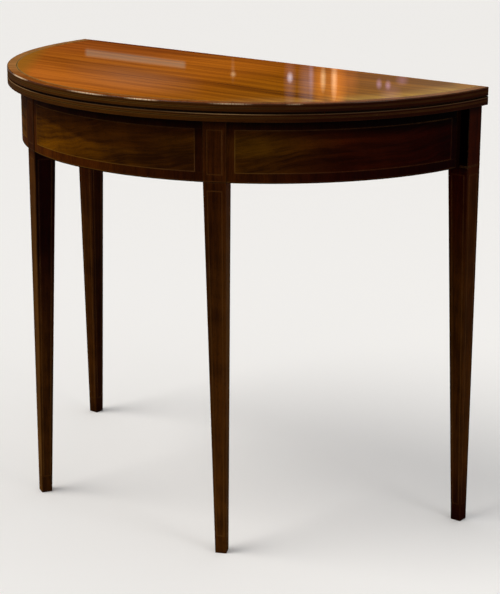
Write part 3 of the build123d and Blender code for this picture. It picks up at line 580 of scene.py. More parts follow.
def gate_leg_tones_and_painted_shade(read, shade):
    """The inner faces are darker and deep red at the head, and the head is darker with painted shade. The
    front face is black with painted shadow beside the frieze. The right foot is black.
    """
    across, back, height = read.parts()
    low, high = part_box("gate_leg_right")
    skin = (1.6 * MM, 0.8 * MM)
    taper = height.spread(frieze_bottom, 0.0, 0.0, 18 * MM)
    front = (back - low.y - taper).spread(*skin)
    inside = (abs(across) - low.x - taper).spread(*skin)
    outside = (high.x - abs(across)).spread(*skin)
    red = height.spread(0.38, 0.58)
    shade = painted_head_shade(height, shade)
    # The darker head is painted shade, and the black beside the frieze a painted shadow
    for share, tone in ((inside, (0.52, 0.36, 0.25)),
                        (outside * height.spread(0.24, 0.34), (0.66, 0.60, 0.60)),
                        (red * inside, (0.54, 0.26, 0.25)), (red * front, (0.46, 0.14, 0.20)),
                        (height.spread(0.585, 0.625), (0.80, 0.45, 0.40)),
                        (height.spread(0.13, 0.01) * across.spread(0.2, 0.3), (0.32, 0.10, 0.15)),
                        (height.spread(0.600, 0.622) * front, (0.06, 0.03, 0.05))):
        shade = shade.tinted(share, tone)
    return shade


print("veneer stands out to, in mm:", round(frieze_out / MM, 1))

# %% [markdown]
# The fields take the same pattern of tones and of painted light and shade as the frieze's crossband. The
# two pairs of legs share one mahogany and differ only in the tones and the painted light and shade of
# their faces.

# %% Make the fields and the legs
field_mahogany = wood("frieze field mahogany", (0.050, 0.0145, 0.0008), (0.011, 0.0026, 0.0003),
                      (0.003, 0.001, 0.0003), source="bow", order="xzy", turn=-7.0, stretch=0.07, bands=28.0,
                      streaks=170.0, wander=0.07, curl=0.20, contrast=1.6, ripple=0.5, pores=0.4,
                      rubbed=(0.08, 0.035, 0.010), rub=0.2, tint=frieze_tones_and_painted_light)
leg_mahogany, gate_leg_mahogany = (
    wood(name, (0.058, 0.0175, 0.0016), (0.016, 0.0042, 0.0004), (0.003, 0.001, 0.0004), order="zxy",
         stretch=0.06, bands=40.0, streaks=260.0, curl=0.25, contrast=1.3, ripple=0.4, grime=0.4,
         rubbed=(0.12, 0.055, 0.018), rub=0.6, wear_width=1.6 * MM, tint=tint)
    for name, tint in (("leg mahogany", front_leg_painted_light), ("gate leg mahogany", gate_leg_tones_and_painted_shade)))
print("materials:", field_mahogany.name, leg_mahogany.name, gate_leg_mahogany.name)

# %% [markdown]
# ## Stringing
# The strings are boxwood, once yellow and now the colour of old varnish, with black-stained wood
# between. Each takes the tone of the wood round it, because both have aged together, and the same painted
# light and shade.

# %% Make the stringing
string_make = {"stretch": 0.1, "bands": 12.0, "streaks": 60.0, "wander": 0.002, "pores": 0.1, "rub": 0.2,
               "source": "bow", "order": "xzy"}
black_make = {**string_make, "rub": 0.0}
top_boxwood = wood("top stringing", (0.46, 0.27, 0.075), (0.30, 0.16, 0.040), (0.06, 0.03, 0.010),
                   rubbed=(0.50, 0.34, 0.14), coat=0.45, coat_gloss=0.012, **string_make)
edge_boxwood = wood("leaf edge stringing", (0.086, 0.036, 0.0042), (0.042, 0.016, 0.0016),
                    (0.02, 0.008, 0.002), rubbed=(0.16, 0.09, 0.03), tint=leaf_edge_tone, **string_make)
frieze_boxwood = wood("frieze stringing", (0.062, 0.0235, 0.0090), (0.028, 0.0095, 0.0034),
                      (0.012, 0.005, 0.002), rubbed=(0.16, 0.09, 0.03), tint=string_tone, **string_make)
leg_boxwood, gate_boxwood = (
    wood(name, (0.062, 0.0225, 0.0027), (0.029, 0.0100, 0.0012), (0.012, 0.005, 0.002),
         rubbed=(0.12, 0.06, 0.02), tint=tint, **{**string_make, "source": "object", "order": "zxy"})
    for name, tint in (("front leg stringing", front_leg_painted_light), ("gate leg stringing", gate_leg_tones_and_painted_shade)))
ebonised = wood("ebonised stringing", (0.024, 0.010, 0.003), (0.010, 0.004, 0.0012), (0.002, 0.001, 0.001),
                **black_make)
black_boxwood = wood("black stringing", (0.006, 0.0016, 0.0006), (0.003, 0.0009, 0.0004),
                     (0.001, 0.0006, 0.0005), **black_make)
print("strings:", top_boxwood.name, edge_boxwood.name, frieze_boxwood.name, leg_boxwood.name, ebonised.name)

# %% [markdown]
# ## Carcase woods
# Hidden parts are never polished, so they are dull, grimy and pale: pine for the frieze bricks, the
# rail, the bearer and the blocks, and oak with broad bands and open pores for the gates.

# %% Make the carcase woods
def rail_end_stain_and_shade(shade):
    """The two ends of the back rail show beside the frieze. They are near black, partly a dark stain and
    partly painted shade.
    """
    out = take(shade.tree, "Vector", "ShaderNodeAttribute", attribute_name="bow").parts()[1]
    bare_until, dark_from = 0.4212, 0.4222
    return shade.covered(out.spread(bare_until, dark_from), (0.004, 0.0008, 0.0004))


bare = {"bands": 45.0, "streaks": 300.0, "gloss": 0.62, "smear": 0.2, "coat": 0.0, "pores": 0.15,
        "grime": 0.85, "rubbed": (0.40, 0.24, 0.11), "rub": 0.4, "wear_width": 1 * MM}
pine_deep = (0.07, 0.03, 0.012)
rail_tones = ((0.32, 0.18, 0.07), (0.18, 0.09, 0.032), pine_deep)
pine = wood("old pine", (0.34, 0.19, 0.075), (0.20, 0.10, 0.035), pine_deep, source="bow", **bare)
rail_pine = wood("old rail pine", *rail_tones, over=rail_end_stain_and_shade, **bare)
bearer_pine = wood("old bearer pine", *rail_tones, order="yxz", **bare)
oak_make = {**bare, "bands": 22.0, "streaks": 240.0, "gloss": 0.5, "pores": 0.9, "rubbed": (0.32, 0.19, 0.09)}
oak = wood("old oak", (0.25, 0.128, 0.046), (0.085, 0.039, 0.013), (0.02, 0.008, 0.003), contrast=1.7,
           **oak_make)
print("carcase woods:", pine.name, rail_pine.name, bearer_pine.name, oak.name)

# %% [markdown]
# ## Brass and iron
# The hinges are cast brass, long unpolished: dull brown in the hollows and bright only where they
# are rubbed. The gate pins and screws are iron with a thin brown skin of rust.

# %% Make the metals
def old_metal(name, bright, dull, rust, roughness, dull_metallic, patch_scale):
    """A metal with a bright body, a dull skin in patches and in its hollows, and worn edges."""
    material, tree, shader = new_material(name)
    read = take(tree, "Object", "ShaderNodeTexCoord")
    worn = use_group(tree, wear, {"Vector": read, "Width": 0.8 * MM, "Patchy": 0.4})
    skin = noise(read, patch_scale, 6.0, 0.7).spread(0.35, 0.65)
    shade = blend(tree, skin, bright, dull)
    shade = shade.covered(worn["Grime"] * 0.8, rust).covered(worn["Rubbed"] * 0.7, bright)
    connect(shader, {
        "Base Color": shade, "Roughness": skin * 0.25 + roughness,
        "Metallic": skin.spread(0.0, 1.0, 1.0, dull_metallic),
        "Normal": take(tree, 0, "ShaderNodeBump", {"Strength": 0.4, "Distance": 0.2 * MM, "Height": skin})})
    return material


brass = old_metal("old brass", (0.48, 0.30, 0.085), (0.15, 0.085, 0.030), (0.03, 0.018, 0.008),
                  roughness=0.34, dull_metallic=0.75, patch_scale=110.0)
iron = old_metal("old iron", (0.20, 0.18, 0.16), (0.085, 0.055, 0.04), (0.05, 0.022, 0.012),
                 roughness=0.45, dull_metallic=0.55, patch_scale=260.0)
print("metals:", brass.name, iron.name)

# %% [markdown]
# ## Pieces and how they are kept
# Each finished piece rides on the body that carries it, stands for its solid in the frame, and takes its
# finish. One helper does all three, and others give a mesh smooth curves with crisp arrises, keep what a
# modifier makes, and mark where each point lies along the bow.

# %% Helpers for finished pieces
def new_piece(name, mesh):
    piece = bpy.data.objects.new(name, mesh)
    bpy.context.scene.collection.objects.link(piece)
    return piece


def keep_shape(shape, name):
    """A shape worked on by hand, kept as a mesh."""
    mesh = bpy.data.meshes.new(name)
    shape.to_mesh(mesh)
    shape.free()
    return mesh


def keep_result(piece):
    """Makes what the modifiers show the piece's own plain mesh."""
    bpy.context.view_layer.update()
    done = bpy.data.meshes.new_from_object(piece.evaluated_get(bpy.context.evaluated_depsgraph_get()))
    piece.modifiers.clear()
    old, piece.data = piece.data, done
    done.name = piece.name
    bpy.data.meshes.remove(old)


def dress(mesh, *materials):
    """Takes off what a mesh wears and gives it other materials."""
    mesh.materials.clear()
    for material in materials:
        mesh.materials.append(material)


def crisp(mesh):
    """Smooth across gentle turns, sharp across real edges."""
    mesh.shade_smooth()
    mesh.set_sharp_from_angle(angle=radians(35.0))


def along_bow(point):
    """Distance along the bow from its middle, out from its centre, and up."""
    if point.y <= bow_y:
        turn = atan2(point.x, bow_y - point.y)
        return turn * leaf_radius, hypot(point.x, point.y - bow_y), point.z
    side = 1.0 if point.x > 0 else -1.0
    return side * (pi / 2 * leaf_radius + point.y - bow_y), abs(point.x), point.z


def mark_bow(mesh):
    """Writes the bow coordinates on every point, for the materials whose grain follows the bow."""
    mark = mesh.attributes.get("bow") or mesh.attributes.new("bow", "FLOAT_VECTOR", "POINT")
    for vertex, cell in zip(mesh.vertices, mark.data):
        cell.vector = along_bow(vertex.co)


def finish_piece(piece, node, *materials):
    """Settles the shading, so that only small rounded faces shade off. Then the piece takes the given
    materials, rides on its body and replaces the one node that it stands for."""
    if materials:
        dress(piece.data, *materials)
    if not piece.data.attributes.get("bow"):
        mark_bow(piece.data)
    piece.modifiers.new("shading", "WEIGHTED_NORMAL").keep_sharp = True
    keep_result(piece)
    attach(piece, body_of_node[node])
    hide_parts(node)


print("piece helpers ready")

# %% [markdown]
# ## The two leaves
# A leaf is a half-round board with short straight returns to the back edge. Its edge is not square:
# the under edge is eased, and where the two leaves meet a small quirk throws a dark line. The board
# is built ring by ring: each ring is the same outline at its own level, drawn in a little, and the
# rings are joined like the hoops of a barrel. That gives a smooth bow with few faces.

# %% Helper for a leaf board
def leaf_board(name, rings, steps=150):
    """A D-shaped board from rings of (drawn in, level), lowest first."""
    shape = bmesh.new()
    hoops = []
    for drawn_in, level in rings:
        radius = leaf_radius - drawn_in
        turns = [-pi / 2 + pi * i / steps for i in range(steps + 1)]
        bow = [(radius * sin(turn), bow_y - radius * cos(turn)) for turn in turns]
        outline = [(-radius, back_y), *bow, (radius, back_y)]
        hoops.append([shape.verts.new((x, y, level)) for x, y in outline])
    for under, over in zip(hoops, hoops[1:]):
        for i in range(len(under) - 1):
            shape.faces.new((under[i], under[i + 1], over[i + 1], over[i]))
    shape.faces.new(list(reversed(hoops[0])))
    shape.faces.new(hoops[-1])
    shape.faces.new([hoop[0] for hoop in hoops] + [hoop[-1] for hoop in reversed(hoops)])
    shape.normal_update()
    return new_piece(name, keep_shape(shape, name))


def eased_corner(level, size, upward, steps=4):
    """The rings of a rounded arris: from the flat into the upright edge, or the other way."""
    rings = []
    for i in range(steps + 1):
        turn = pi / 2 * i / steps
        rings.append((size * (1 - sin(turn)), level + size * (1 - cos(turn)) * (1 if upward else -1)))
    return rings if upward else rings[::-1]


print("leaf helper ready")

# %% [markdown]
# ## Hinge seats
# Each butt hinge is let into the back edges: a shallow bed for the plate, and a cove for the knuckles.
# Chiselled beds are best cut out of the finished board, so a boolean takes away a block and a round
# bar where each hinge lies. The places come from the brass solids in the frame.

# %% Helper for cutting hinge seats
def block_mesh(name, low, high):
    shape = bmesh.new()
    bmesh.ops.create_cube(shape, size=1.0)
    for vertex in shape.verts:
        vertex.co = Vector([(low[i] + high[i]) / 2 + vertex.co[i] * (high[i] - low[i]) for i in range(3)])
    return keep_shape(shape, name)


def bar_mesh(name, start, end, radius, steps=40):
    """A round bar along X."""
    shape = bmesh.new()
    bmesh.ops.create_cone(shape, cap_ends=True, segments=steps, radius1=radius, radius2=radius,
                          depth=(end - start).length)
    bmesh.ops.rotate(shape, verts=shape.verts, cent=(0, 0, 0), matrix=Matrix.Rotation(pi / 2, 3, "Y"))
    bmesh.ops.translate(shape, verts=shape.verts, vec=(start + end) / 2)
    return keep_shape(shape, name)


def cut_away(piece, cutter_mesh):
    """Takes a cutter out of a piece, and leaves a plain mesh."""
    cutter = new_piece("cutter", cutter_mesh)
    cut = piece.modifiers.new("seat", "BOOLEAN")
    cut.operation, cut.solver, cut.object = "DIFFERENCE", "EXACT", cutter
    keep_result(piece)
    bpy.data.objects.remove(cutter)


bed_depth, cove_radius, cove_play, overrun = 1.8 * MM, 3.0 * MM, 0.3 * MM, 10 * MM


def cut_hinge_seats(piece, which):
    for side in ("right", "left"):
        low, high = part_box(f"{which}_hinge_plate_{side}")
        pin_low, pin_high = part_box(f"hinge_pin_{side}")
        axis = (pin_low + pin_high) / 2
        start_x, end_x = (corner.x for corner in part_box(f"lower_hinge_plate_{side}"))
        bottom, top = (low.z, axis.z) if which == "lower" else (axis.z, high.z)
        cut_away(piece, block_mesh("bed", (start_x, back_y - bed_depth, bottom),
                                   (end_x, back_y + overrun, top)))
        cut_away(piece, bar_mesh("cove", Vector((start_x - cove_play, axis.y, axis.z)),
                                 Vector((end_x + cove_play, axis.y, axis.z)), cove_radius))


print("seat helper ready")

# %% [markdown]
# The faces of a leaf take the glossy top wood, and its edge the darker edge wood. Nobody polishes the
# face that lies on the frieze. Which is which follows from where each face looks.

# %% Make the two leaves
arris, quirk = 1.2 * MM, 1.6 * MM
inlay_bottom = inlay_low.z
crossband_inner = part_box("top_light_strings")[1].x
inlay_step = leaf_radius - (crossband_inner - string_width * 3)
lower_leaf = leaf_board("lower_leaf_board", eased_corner(lower_low.z, arris, True)
                        + eased_corner(lower_high.z, quirk, False))
upper_leaf = leaf_board("upper_leaf_board", eased_corner(leaf_low.z, quirk, True)
                        + [(0.0, inlay_bottom), (inlay_step, inlay_bottom), (inlay_step, top_z)])
for piece, which in ((lower_leaf, "lower"), (upper_leaf, "upper")):
    cut_hinge_seats(piece, which)
    dress(piece.data, top_mahogany, edge_mahogany, bare_mahogany)
    for face in piece.data.polygons:
        flat = abs(face.normal.z) > 0.999
        face.material_index = 1 if not flat else 2 if face.center.z < underside + 1 * MM else 0
    crisp(piece.data)
    finish_piece(piece, which + "_leaf")
    print(piece.name, "faces", len(piece.data.polygons))

# %% [markdown]
# ## Bands and strings that follow the bow
# Crossbands, strings and veneers all bend round the same centre. Geometry Nodes can lay them all by
# one rule. A small mesh holds one point for each strip, and each point carries the strip's start and
# end along the bow, its low and high level and its inner and outer radius. The tree puts a divided
# block on every point, and then moves each corner of the block to its place on the bow. Past the
# half circle a strip runs on straight, as the returns of the leaf do. The tree also writes the
# distance along, out and up, which the woods read for their grain.

# %% Build the tree that lays strips on the bow
shape_socket, whole = "NodeSocketGeometry", "NodeSocketInt"
strip_tree, given, strip_end = new_group(
    "strips on the bow",
    [("Geometry", shape_socket, None), ("Bow Centre", number, 0.0), ("Leaf Radius", number, 0.4),
     ("Steps", whole, 60), ("Material", "NodeSocketMaterial", None)],
    [("Geometry", shape_socket)], "GeometryNodeTree")


def geometry(tree, kind, values, **fields):
    """The geometry that a new node puts out."""
    return take(tree, 0, "GeometryNode" + kind, values, **fields)


def named(tree, name, data_type="FLOAT"):
    """A value that the points carry by name."""
    return take(tree, 0, "GeometryNodeInputNamedAttribute", {"Name": name}, data_type=data_type)


def store_vector(tree, shape, name, value):
    return geometry(tree, "StoreNamedAttribute", {"Geometry": shape, "Name": name, "Value": value},
                    data_type="FLOAT_VECTOR", domain="POINT")


def between(low, high, share):
    low, high = named(strip_tree, low), named(strip_tree, high)
    return share.reckon("MULTIPLY_ADD", high - low, share, low)


points = geometry(strip_tree, "MeshToPoints", {"Mesh": given["Geometry"], "Radius": 1 * MM})
block = geometry(strip_tree, "MeshCube", {"Vertices X": given["Steps"], "Vertices Y": 2, "Vertices Z": 2})
unit = store_vector(strip_tree, block, "unit", take(strip_tree, 0, "GeometryNodeInputPosition"))
laid = geometry(strip_tree, "InstanceOnPoints", {"Points": points, "Instance": unit})
laid = geometry(strip_tree, "RealizeInstances", {"Geometry": laid})
shares = named(strip_tree, "unit", "FLOAT_VECTOR").vector("ADD", (0.5, 0.5, 0.5)).parts()
run = between("start", "end", shares[0])
out = between("outer", "inner", shares[1])
level = between("low", "high", shares[2])
turn = run / given["Leaf Radius"]
held = turn.reckon("MAXIMUM", turn.reckon("MINIMUM", turn, pi / 2), -pi / 2)
straight = abs(turn - held) * given["Leaf Radius"]
place_x = out * held.reckon("SINE", held)
place_y = given["Bow Centre"] - out * held.reckon("COSINE", held) + straight
laid = geometry(strip_tree, "SetPosition", {"Geometry": laid,
                                            "Position": joined(strip_tree, place_x, place_y, level)})
laid = store_vector(strip_tree, laid, "bow", joined(strip_tree, run, out, level))
laid = geometry(strip_tree, "RealizeInstances", {"Geometry": laid})
laid = geometry(strip_tree, "SetMaterial", {"Geometry": laid, "Material": given["Material"]})
connect(strip_end, {"Geometry": laid})
print("tree:", strip_tree.name, len(strip_tree.nodes), "nodes")

# %% [markdown]
# A modifier's inputs are set by each socket's identifier. The evaluated result becomes a plain mesh,
# and the modifier and the values that only the tree needed go.

# %% Helper for laying strips
def run_tree(name, mesh, tree, values, spare):
    """Runs a geometry tree on a new piece and keeps the plain mesh."""
    piece = new_piece(name, mesh)
    modifier = piece.modifiers.new(tree.name, "NODES")
    modifier.node_group = tree
    for item in tree.interface.items_tree:
        if item.item_type == "SOCKET" and item.in_out == "INPUT" and item.name in values:
            modifier[item.identifier] = values[item.name]
    keep_result(piece)
    dress(piece.data, values["Material"])
    piece.data.polygons.foreach_set("material_index", [0] * len(piece.data.polygons))
    for key in spare:
        if piece.data.attributes.get(key):
            piece.data.attributes.remove(piece.data.attributes[key])
    return piece


strip_values = ("start", "end", "low", "high", "inner", "outer")


def lay_strips(name, strips, material, steps=150):
    """Strips as (start, end, low, high, inner, outer), in metres along the leaf's radius."""
    mesh = bpy.data.meshes.new(name)
    mesh.from_pydata([(0.0, 0.0, 0.0)] * len(strips), [], [])
    for key, column in zip(strip_values, zip(*strips)):
        mesh.attributes.new(key, "FLOAT", "POINT").data.foreach_set("value", column)
    piece = run_tree(name, mesh, strip_tree, {"Bow Centre": bow_y, "Leaf Radius": leaf_radius, "Steps": steps,
                                              "Material": material}, (*strip_values, "unit"))
    crisp(piece.data)
    print(name, "strips", len(strips), "faces", len(piece.data.polygons))
    return piece


bow_end = pi / 2 * leaf_radius + leaf_return
print("half of the bow, in mm:", round(bow_end / MM, 1))

# %% [markdown]
# ## The inlay of the top
# From the rim inward lie the crossband, a light string, a black one and another light one. The rim of
# the crossband is rounded by hand, where fingers meet it, so that edge gets a bevel after the strip
# is laid.

# %% Lay the inlay of the top
def ring(inner, outer):
    return (-bow_end, bow_end, inlay_bottom, top_z, inner, outer)


def on_rim(edge):
    """Whether an edge lies on the upper outer arris of the crossband."""
    hair = 0.01 * MM
    return (len(edge.link_faces) == 2 and edge.calc_face_angle(0) > radians(60)
            and all(v.co.z > top_z - hair and along_bow(v.co)[1] > leaf_radius - hair for v in edge.verts))


string_edges = [crossband_inner - step * string_width for step in range(4)]
top_crossband = lay_strips("top_crossband_veneer", [ring(crossband_inner, leaf_radius)], top_crossbanding)
shape = bmesh.new()
shape.from_mesh(top_crossband.data)
rim = [edge for edge in shape.edges if on_rim(edge)]
print("edges on the rim:", len(rim))
bmesh.ops.bevel(shape, geom=rim, offset=arris, segments=4, profile=0.5, affect="EDGES")
shape.to_mesh(top_crossband.data)
shape.free()
crisp(top_crossband.data)
mark_bow(top_crossband.data)
finish_piece(top_crossband, "top_crossband")
light_rings = [ring(string_edges[1], string_edges[0]), ring(string_edges[3], string_edges[2])]
finish_piece(lay_strips("top_light_stringing", light_rings, top_boxwood), "top_light_strings")
dark_rings = [ring(string_edges[2], string_edges[1])]
finish_piece(lay_strips("top_dark_stringing", dark_rings, ebonised), "top_dark_string")

# %% [markdown]
# ## The strings in the leaf edges
# A light, a black and a light string run round the middle of each edge. They are a hair proud of the
# wood, as old inlay is once the board has shrunk behind it.

# %% Lay the edge strings
proud = 0.05 * MM
for which, low, high in (("lower", lower_low.z, lower_high.z), ("upper", leaf_low.z, leaf_high.z)):
    strips = []
    for step in (-1.5, -0.5, 0.5):
        foot = (low + high) / 2 + step * string_width
        strips.append((-bow_end, bow_end, foot, foot + string_width, leaf_radius - string_depth,
                       leaf_radius + proud))
    finish_piece(lay_strips(f"{which}_edge_light_stringing", strips[::2], edge_boxwood),
                 f"{which}_leaf_edge_strings")
    finish_piece(lay_strips(f"{which}_edge_dark_stringing", strips[1:2], ebonised),
                 f"{which}_leaf_edge_dark_string")

# %% [markdown]
# ## The veneers of the frieze
# The frieze has three panels between the legs. Each is a curly field in a boxwood string in a
# crossband, with a light and a black string along its foot. The panel ends are where the crossband
# solid of the frame starts and stops, so they are found by walking its points round the bow. The two
# widest steps beside the middle panel are the heads of the front legs.

# %% Find the three panels
runs, outs, _ = (sorted(values) for values in zip(
    *(along_bow(v.co) for v in nodes["frieze_crossband"].data.vertices)))
core_radius, frieze_radius = outs[0], outs[-1]
nearest_leg, furthest_leg, narrowest_head = 0.15, 0.30, 25 * MM
gaps = [(b - a, a, b) for a, b in zip(runs, runs[1:])
        if b - a > narrowest_head and nearest_leg < abs((a + b) / 2) < furthest_leg]
gaps = sorted(gaps, reverse=True)[:2]
stops = sorted([stop for gap in gaps for stop in gap[1:]] + [runs[0], runs[-1]])
panels = list(zip(stops[::2], stops[1::2]))
print("panels, in mm along the leaf:", [tuple(round(v / MM, 1) for v in panel) for panel in panels])

# %% [markdown]
# With the ends known, every strip of a panel is a line in a list: the two rails and two stiles of
# the crossband, the four sides of the string, the field, and the two strings at the foot.

# %% Lay the veneers of the frieze
border = 15.5 * MM
stile = 12.5 * MM * leaf_radius / frieze_radius
width_along = string_width * leaf_radius / frieze_radius
skin = (core_radius, frieze_radius)
fields, bands, lights, blacks = [], [], [], []
for start, end in panels:
    foot = frieze_bottom + 2 * string_width
    low, high = frieze_bottom + border, underside - border
    near, far = start + stile, end - stile
    field = (near + width_along, far - width_along, low + string_width, high - string_width)
    bands += [(start, end, foot, low, *skin), (start, end, high, underside, *skin),
              (start, near, low, high, *skin), (far, end, low, high, *skin)]
    lights += [(near, far, low, field[2], *skin), (near, far, field[3], high, *skin),
               (near, field[0], *field[2:], *skin), (field[1], far, *field[2:], *skin),
               (start, end, foot - string_width, foot, *skin)]
    fields.append((*field, *skin))
    blacks.append((start, end, frieze_bottom, foot - string_width, *skin))
for name, strips, material, node in (
        ("frieze_fields", fields, field_mahogany, "frieze_field_veneers"),
        ("frieze_crossbanding", bands, frieze_crossbanding, "frieze_crossband"),
        ("frieze_light_stringing", lights, frieze_boxwood, "frieze_strings")):
    finish_piece(lay_strips(name, strips, material, 60), node)
black_foot = lay_strips("frieze_black_stringing", blacks, black_boxwood, 60)

# %% [markdown]
# ## Pieces that keep their shape
# Legs, gates, rails and blocks already have the right shape in the frame, but their arrises are as
# sharp as a knife. A copy is merged into whole faces, its long outer arrises are rounded, and the
# copy stands for the solid. Tiny faces, such as the walls of a string's groove, are left alone.

# %% Helper for easing a copy of a solid
def copy_of(node, merged_within=0.02 * MM):
    """A node's points and faces, with the points that lie together merged."""
    shape = bmesh.new()
    shape.from_mesh(nodes[node].data)
    bmesh.ops.remove_doubles(shape, verts=shape.verts, dist=merged_within)
    return shape


def width_of(face):
    return face.calc_area() / max(edge.calc_length() for edge in face.edges)


def eased_copy(node, name, size, material, shortest=12 * MM, narrowest=3 * MM, steps=3):
    """A merged copy of a node with its real arrises rounded."""
    one_face, real_arris = radians(0.4), radians(40)
    shape = copy_of(node)
    bmesh.ops.dissolve_limit(shape, angle_limit=one_face, verts=shape.verts, edges=shape.edges)
    picked = [edge for edge in shape.edges if len(edge.link_faces) == 2 and edge.is_convex
              and edge.calc_face_angle(0) > real_arris and edge.calc_length() > shortest
              and all(width_of(face) > narrowest for face in edge.link_faces)]
    bmesh.ops.bevel(shape, geom=picked, offset=size, segments=steps, profile=0.5, affect="EDGES",
                    clamp_overlap=True)
    mesh = keep_shape(shape, name)
    crisp(mesh)
    piece = new_piece(name, mesh)
    finish_piece(piece, node, material)
    print(name, "eased arrises", len(picked), "faces", len(piece.data.polygons))


print("easing helper ready")

# %% [markdown]
# ## The legs and their strings
# The legs are square in section and taper on two faces. Their arrises are softly rounded. The strings
# already lie flush in their grooves, so they stay as they are and only take a finish.

# %% Dress the legs
for kind, leg_wood, leg_string in (("front_leg", leg_mahogany, leg_boxwood),
                                   ("gate_leg", gate_leg_mahogany, gate_boxwood)):
    for side in ("right", "left"):
        eased_copy(f"{kind}_{side}", f"{kind}_{side}_shaped", 0.8 * MM, leg_wood, shortest=15 * MM)
        dress(nodes[f"{kind}_{side}_strings"].data, leg_string)
for side in ("right", "left"):
    dress(nodes[f"gate_leg_{side}_dark_string"].data, ebonised)
print("legs dressed")

# %% [markdown]
# The black string at the foot of the frieze goes on across the front legs as flat slips. They are cut
# from the frame's own solid, which has a long island of points for each panel and a short one for
# each slip.

# %% Add the slips on the front legs
def islands_of(shape):
    """The separate solids of a shape, as lists of points."""
    left, found = set(shape.verts), []
    while left:
        stack, group = [left.pop()], []
        while stack:
            at = stack.pop()
            group.append(at)
            for edge in at.link_edges:
                other = edge.other_vert(at)
                if other in left:
                    left.remove(other)
                    stack.append(other)
        found.append(group)
    return found


longest_slip = 60 * MM
shape = copy_of("frieze_base_dark_string")
for island in islands_of(shape):
    reach = [along_bow(vertex.co)[0] for vertex in island]
    if max(reach) - min(reach) > longest_slip:
        bmesh.ops.delete(shape, geom=island, context="VERTS")
print("slip points:", len(shape.verts))
slip_mesh = keep_shape(shape, "slips")
both = bmesh.new()
both.from_mesh(black_foot.data)
both.from_mesh(slip_mesh)
both.to_mesh(black_foot.data)
both.free()
mark_bow(black_foot.data)
crisp(black_foot.data)
finish_piece(black_foot, "frieze_base_dark_string")

# %% [markdown]
# ## The carcase and the gates
# The frieze core is built like a wall, from bricks of pine in staggered courses. The back rail, the
# middle bearer and the glue blocks are pine too. The gates are oak, because their wooden knuckles
# carry the opened leaf.

# %% Dress the carcase and the gates
for course in ("lower", "middle", "upper"):
    eased_copy(f"frieze_{course}_course", f"frieze_{course}_bricks", 0.4 * MM, pine, steps=2)
for node, easing, material in (("back_rail", 0.6 * MM, rail_pine), ("medial_bearer", 0.8 * MM, bearer_pine),
                               ("glue_blocks", 0.8 * MM, rail_pine), ("knuckle_block", 0.6 * MM, oak),
                               ("gate_rail_right", 0.6 * MM, oak), ("gate_rail_left", 0.6 * MM, oak)):
    eased_copy(node, node + "_shaped", easing, material)
for side in ("right", "left"):
    dress(nodes[f"gate_pin_{side}"].data, iron)
print("carcase dressed")

# %% [markdown]
# ## The hinges
# The brass plates and their knuckles keep their shape, with softened edges. The pins stay as they are.

# %% Dress the hinges
for side in ("right", "left"):
    for which in ("lower", "upper"):
        eased_copy(f"{which}_hinge_plate_{side}", f"{which}_hinge_{side}", 0.15 * MM, brass,
                   shortest=1 * MM, narrowest=1 * MM, steps=2)
    dress(nodes[f"hinge_pin_{side}"].data, brass)
print("hinges dressed")

# %% [markdown]
# ## Screws
# Old screws have a filed slot, never quite in line from one to the next. One screw is turned, with a
# slotted countersunk head, and Geometry Nodes set a copy at every seat. The seats are points that
# carry the direction of each screw, read from the frame's solids, and a seeded random turn sets the slots.

# %% Build one slotted screw and the tree that drives screws
def screw_mesh(name, head, shank, length, steps=20):
    """A countersunk screw with its head at the origin, pointing down -Z, and a slot in its head."""
    shape = bmesh.new()
    bevel = 0.1 * MM
    profile = [(0.0, 0.0), (head - bevel, 0.0), (head, -bevel), (shank, shank - head),
               (shank, shank - length), (0.0, -length)]
    spun = [shape.verts.new((r, 0, z)) for r, z in profile]
    edges = [shape.edges.new(pair) for pair in zip(spun, spun[1:])]
    bmesh.ops.spin(shape, geom=spun + edges, cent=(0, 0, 0), axis=(0, 0, 1), angle=2 * pi, steps=steps)
    bmesh.ops.remove_doubles(shape, verts=shape.verts, dist=0.005 * MM)
    bmesh.ops.recalc_face_normals(shape, faces=shape.faces)
    piece = new_piece(name, keep_shape(shape, name))
    slot_reach, slot_half, slot_depth = head * 1.1, head * 0.13, head * 0.32
    cut_away(piece, block_mesh("slot", (-slot_reach, -slot_half, -slot_depth), (slot_reach, slot_half, head)))
    crisp(piece.data)
    return piece


drive_tree, given, drive_end = new_group(
    "screws in their seats",
    [("Geometry", shape_socket, None), ("Screw", "NodeSocketObject", None), ("Seed", whole, 3),
     ("Material", "NodeSocketMaterial", None)],
    [("Geometry", shape_socket)], "GeometryNodeTree")
seat_points = geometry(drive_tree, "MeshToPoints", {"Mesh": given["Geometry"], "Radius": 1 * MM})
aligned = take(drive_tree, 0, "FunctionNodeAlignRotationToVector",
               {"Vector": named(drive_tree, "facing", "FLOAT_VECTOR")}, axis="Z")
any_turn = take(drive_tree, 1, "FunctionNodeRandomValue", {2: 0.0, 3: pi, "Seed": given["Seed"]},
                data_type="FLOAT")
slot_turn = take(drive_tree, 0, "FunctionNodeAxisAngleToRotation", {"Axis": (0, 0, 1), "Angle": any_turn})
turned = take(drive_tree, 0, "FunctionNodeRotateRotation", {"Rotation": aligned, "Rotate By": slot_turn},
              rotation_space="LOCAL")
screw = take(drive_tree, "Geometry", "GeometryNodeObjectInfo", {"Object": given["Screw"]})
driven = geometry(drive_tree, "InstanceOnPoints",
                  {"Points": seat_points, "Instance": screw, "Rotation": turned})
driven = geometry(drive_tree, "RealizeInstances", {"Geometry": driven})
driven = geometry(drive_tree, "SetMaterial", {"Geometry": driven, "Material": given["Material"]})
connect(drive_end, {"Geometry": driven})
print("tree:", drive_tree.name)

# %% [markdown]
# The frame's screws are plain solids, one island of points each. The head is the wider end: the
# middle of its rim is the seat, and the line from the tip to it is the way the screw faces.

# %% Drive the screws
def middle_of(points):
    return sum(points, Vector()) / len(points)


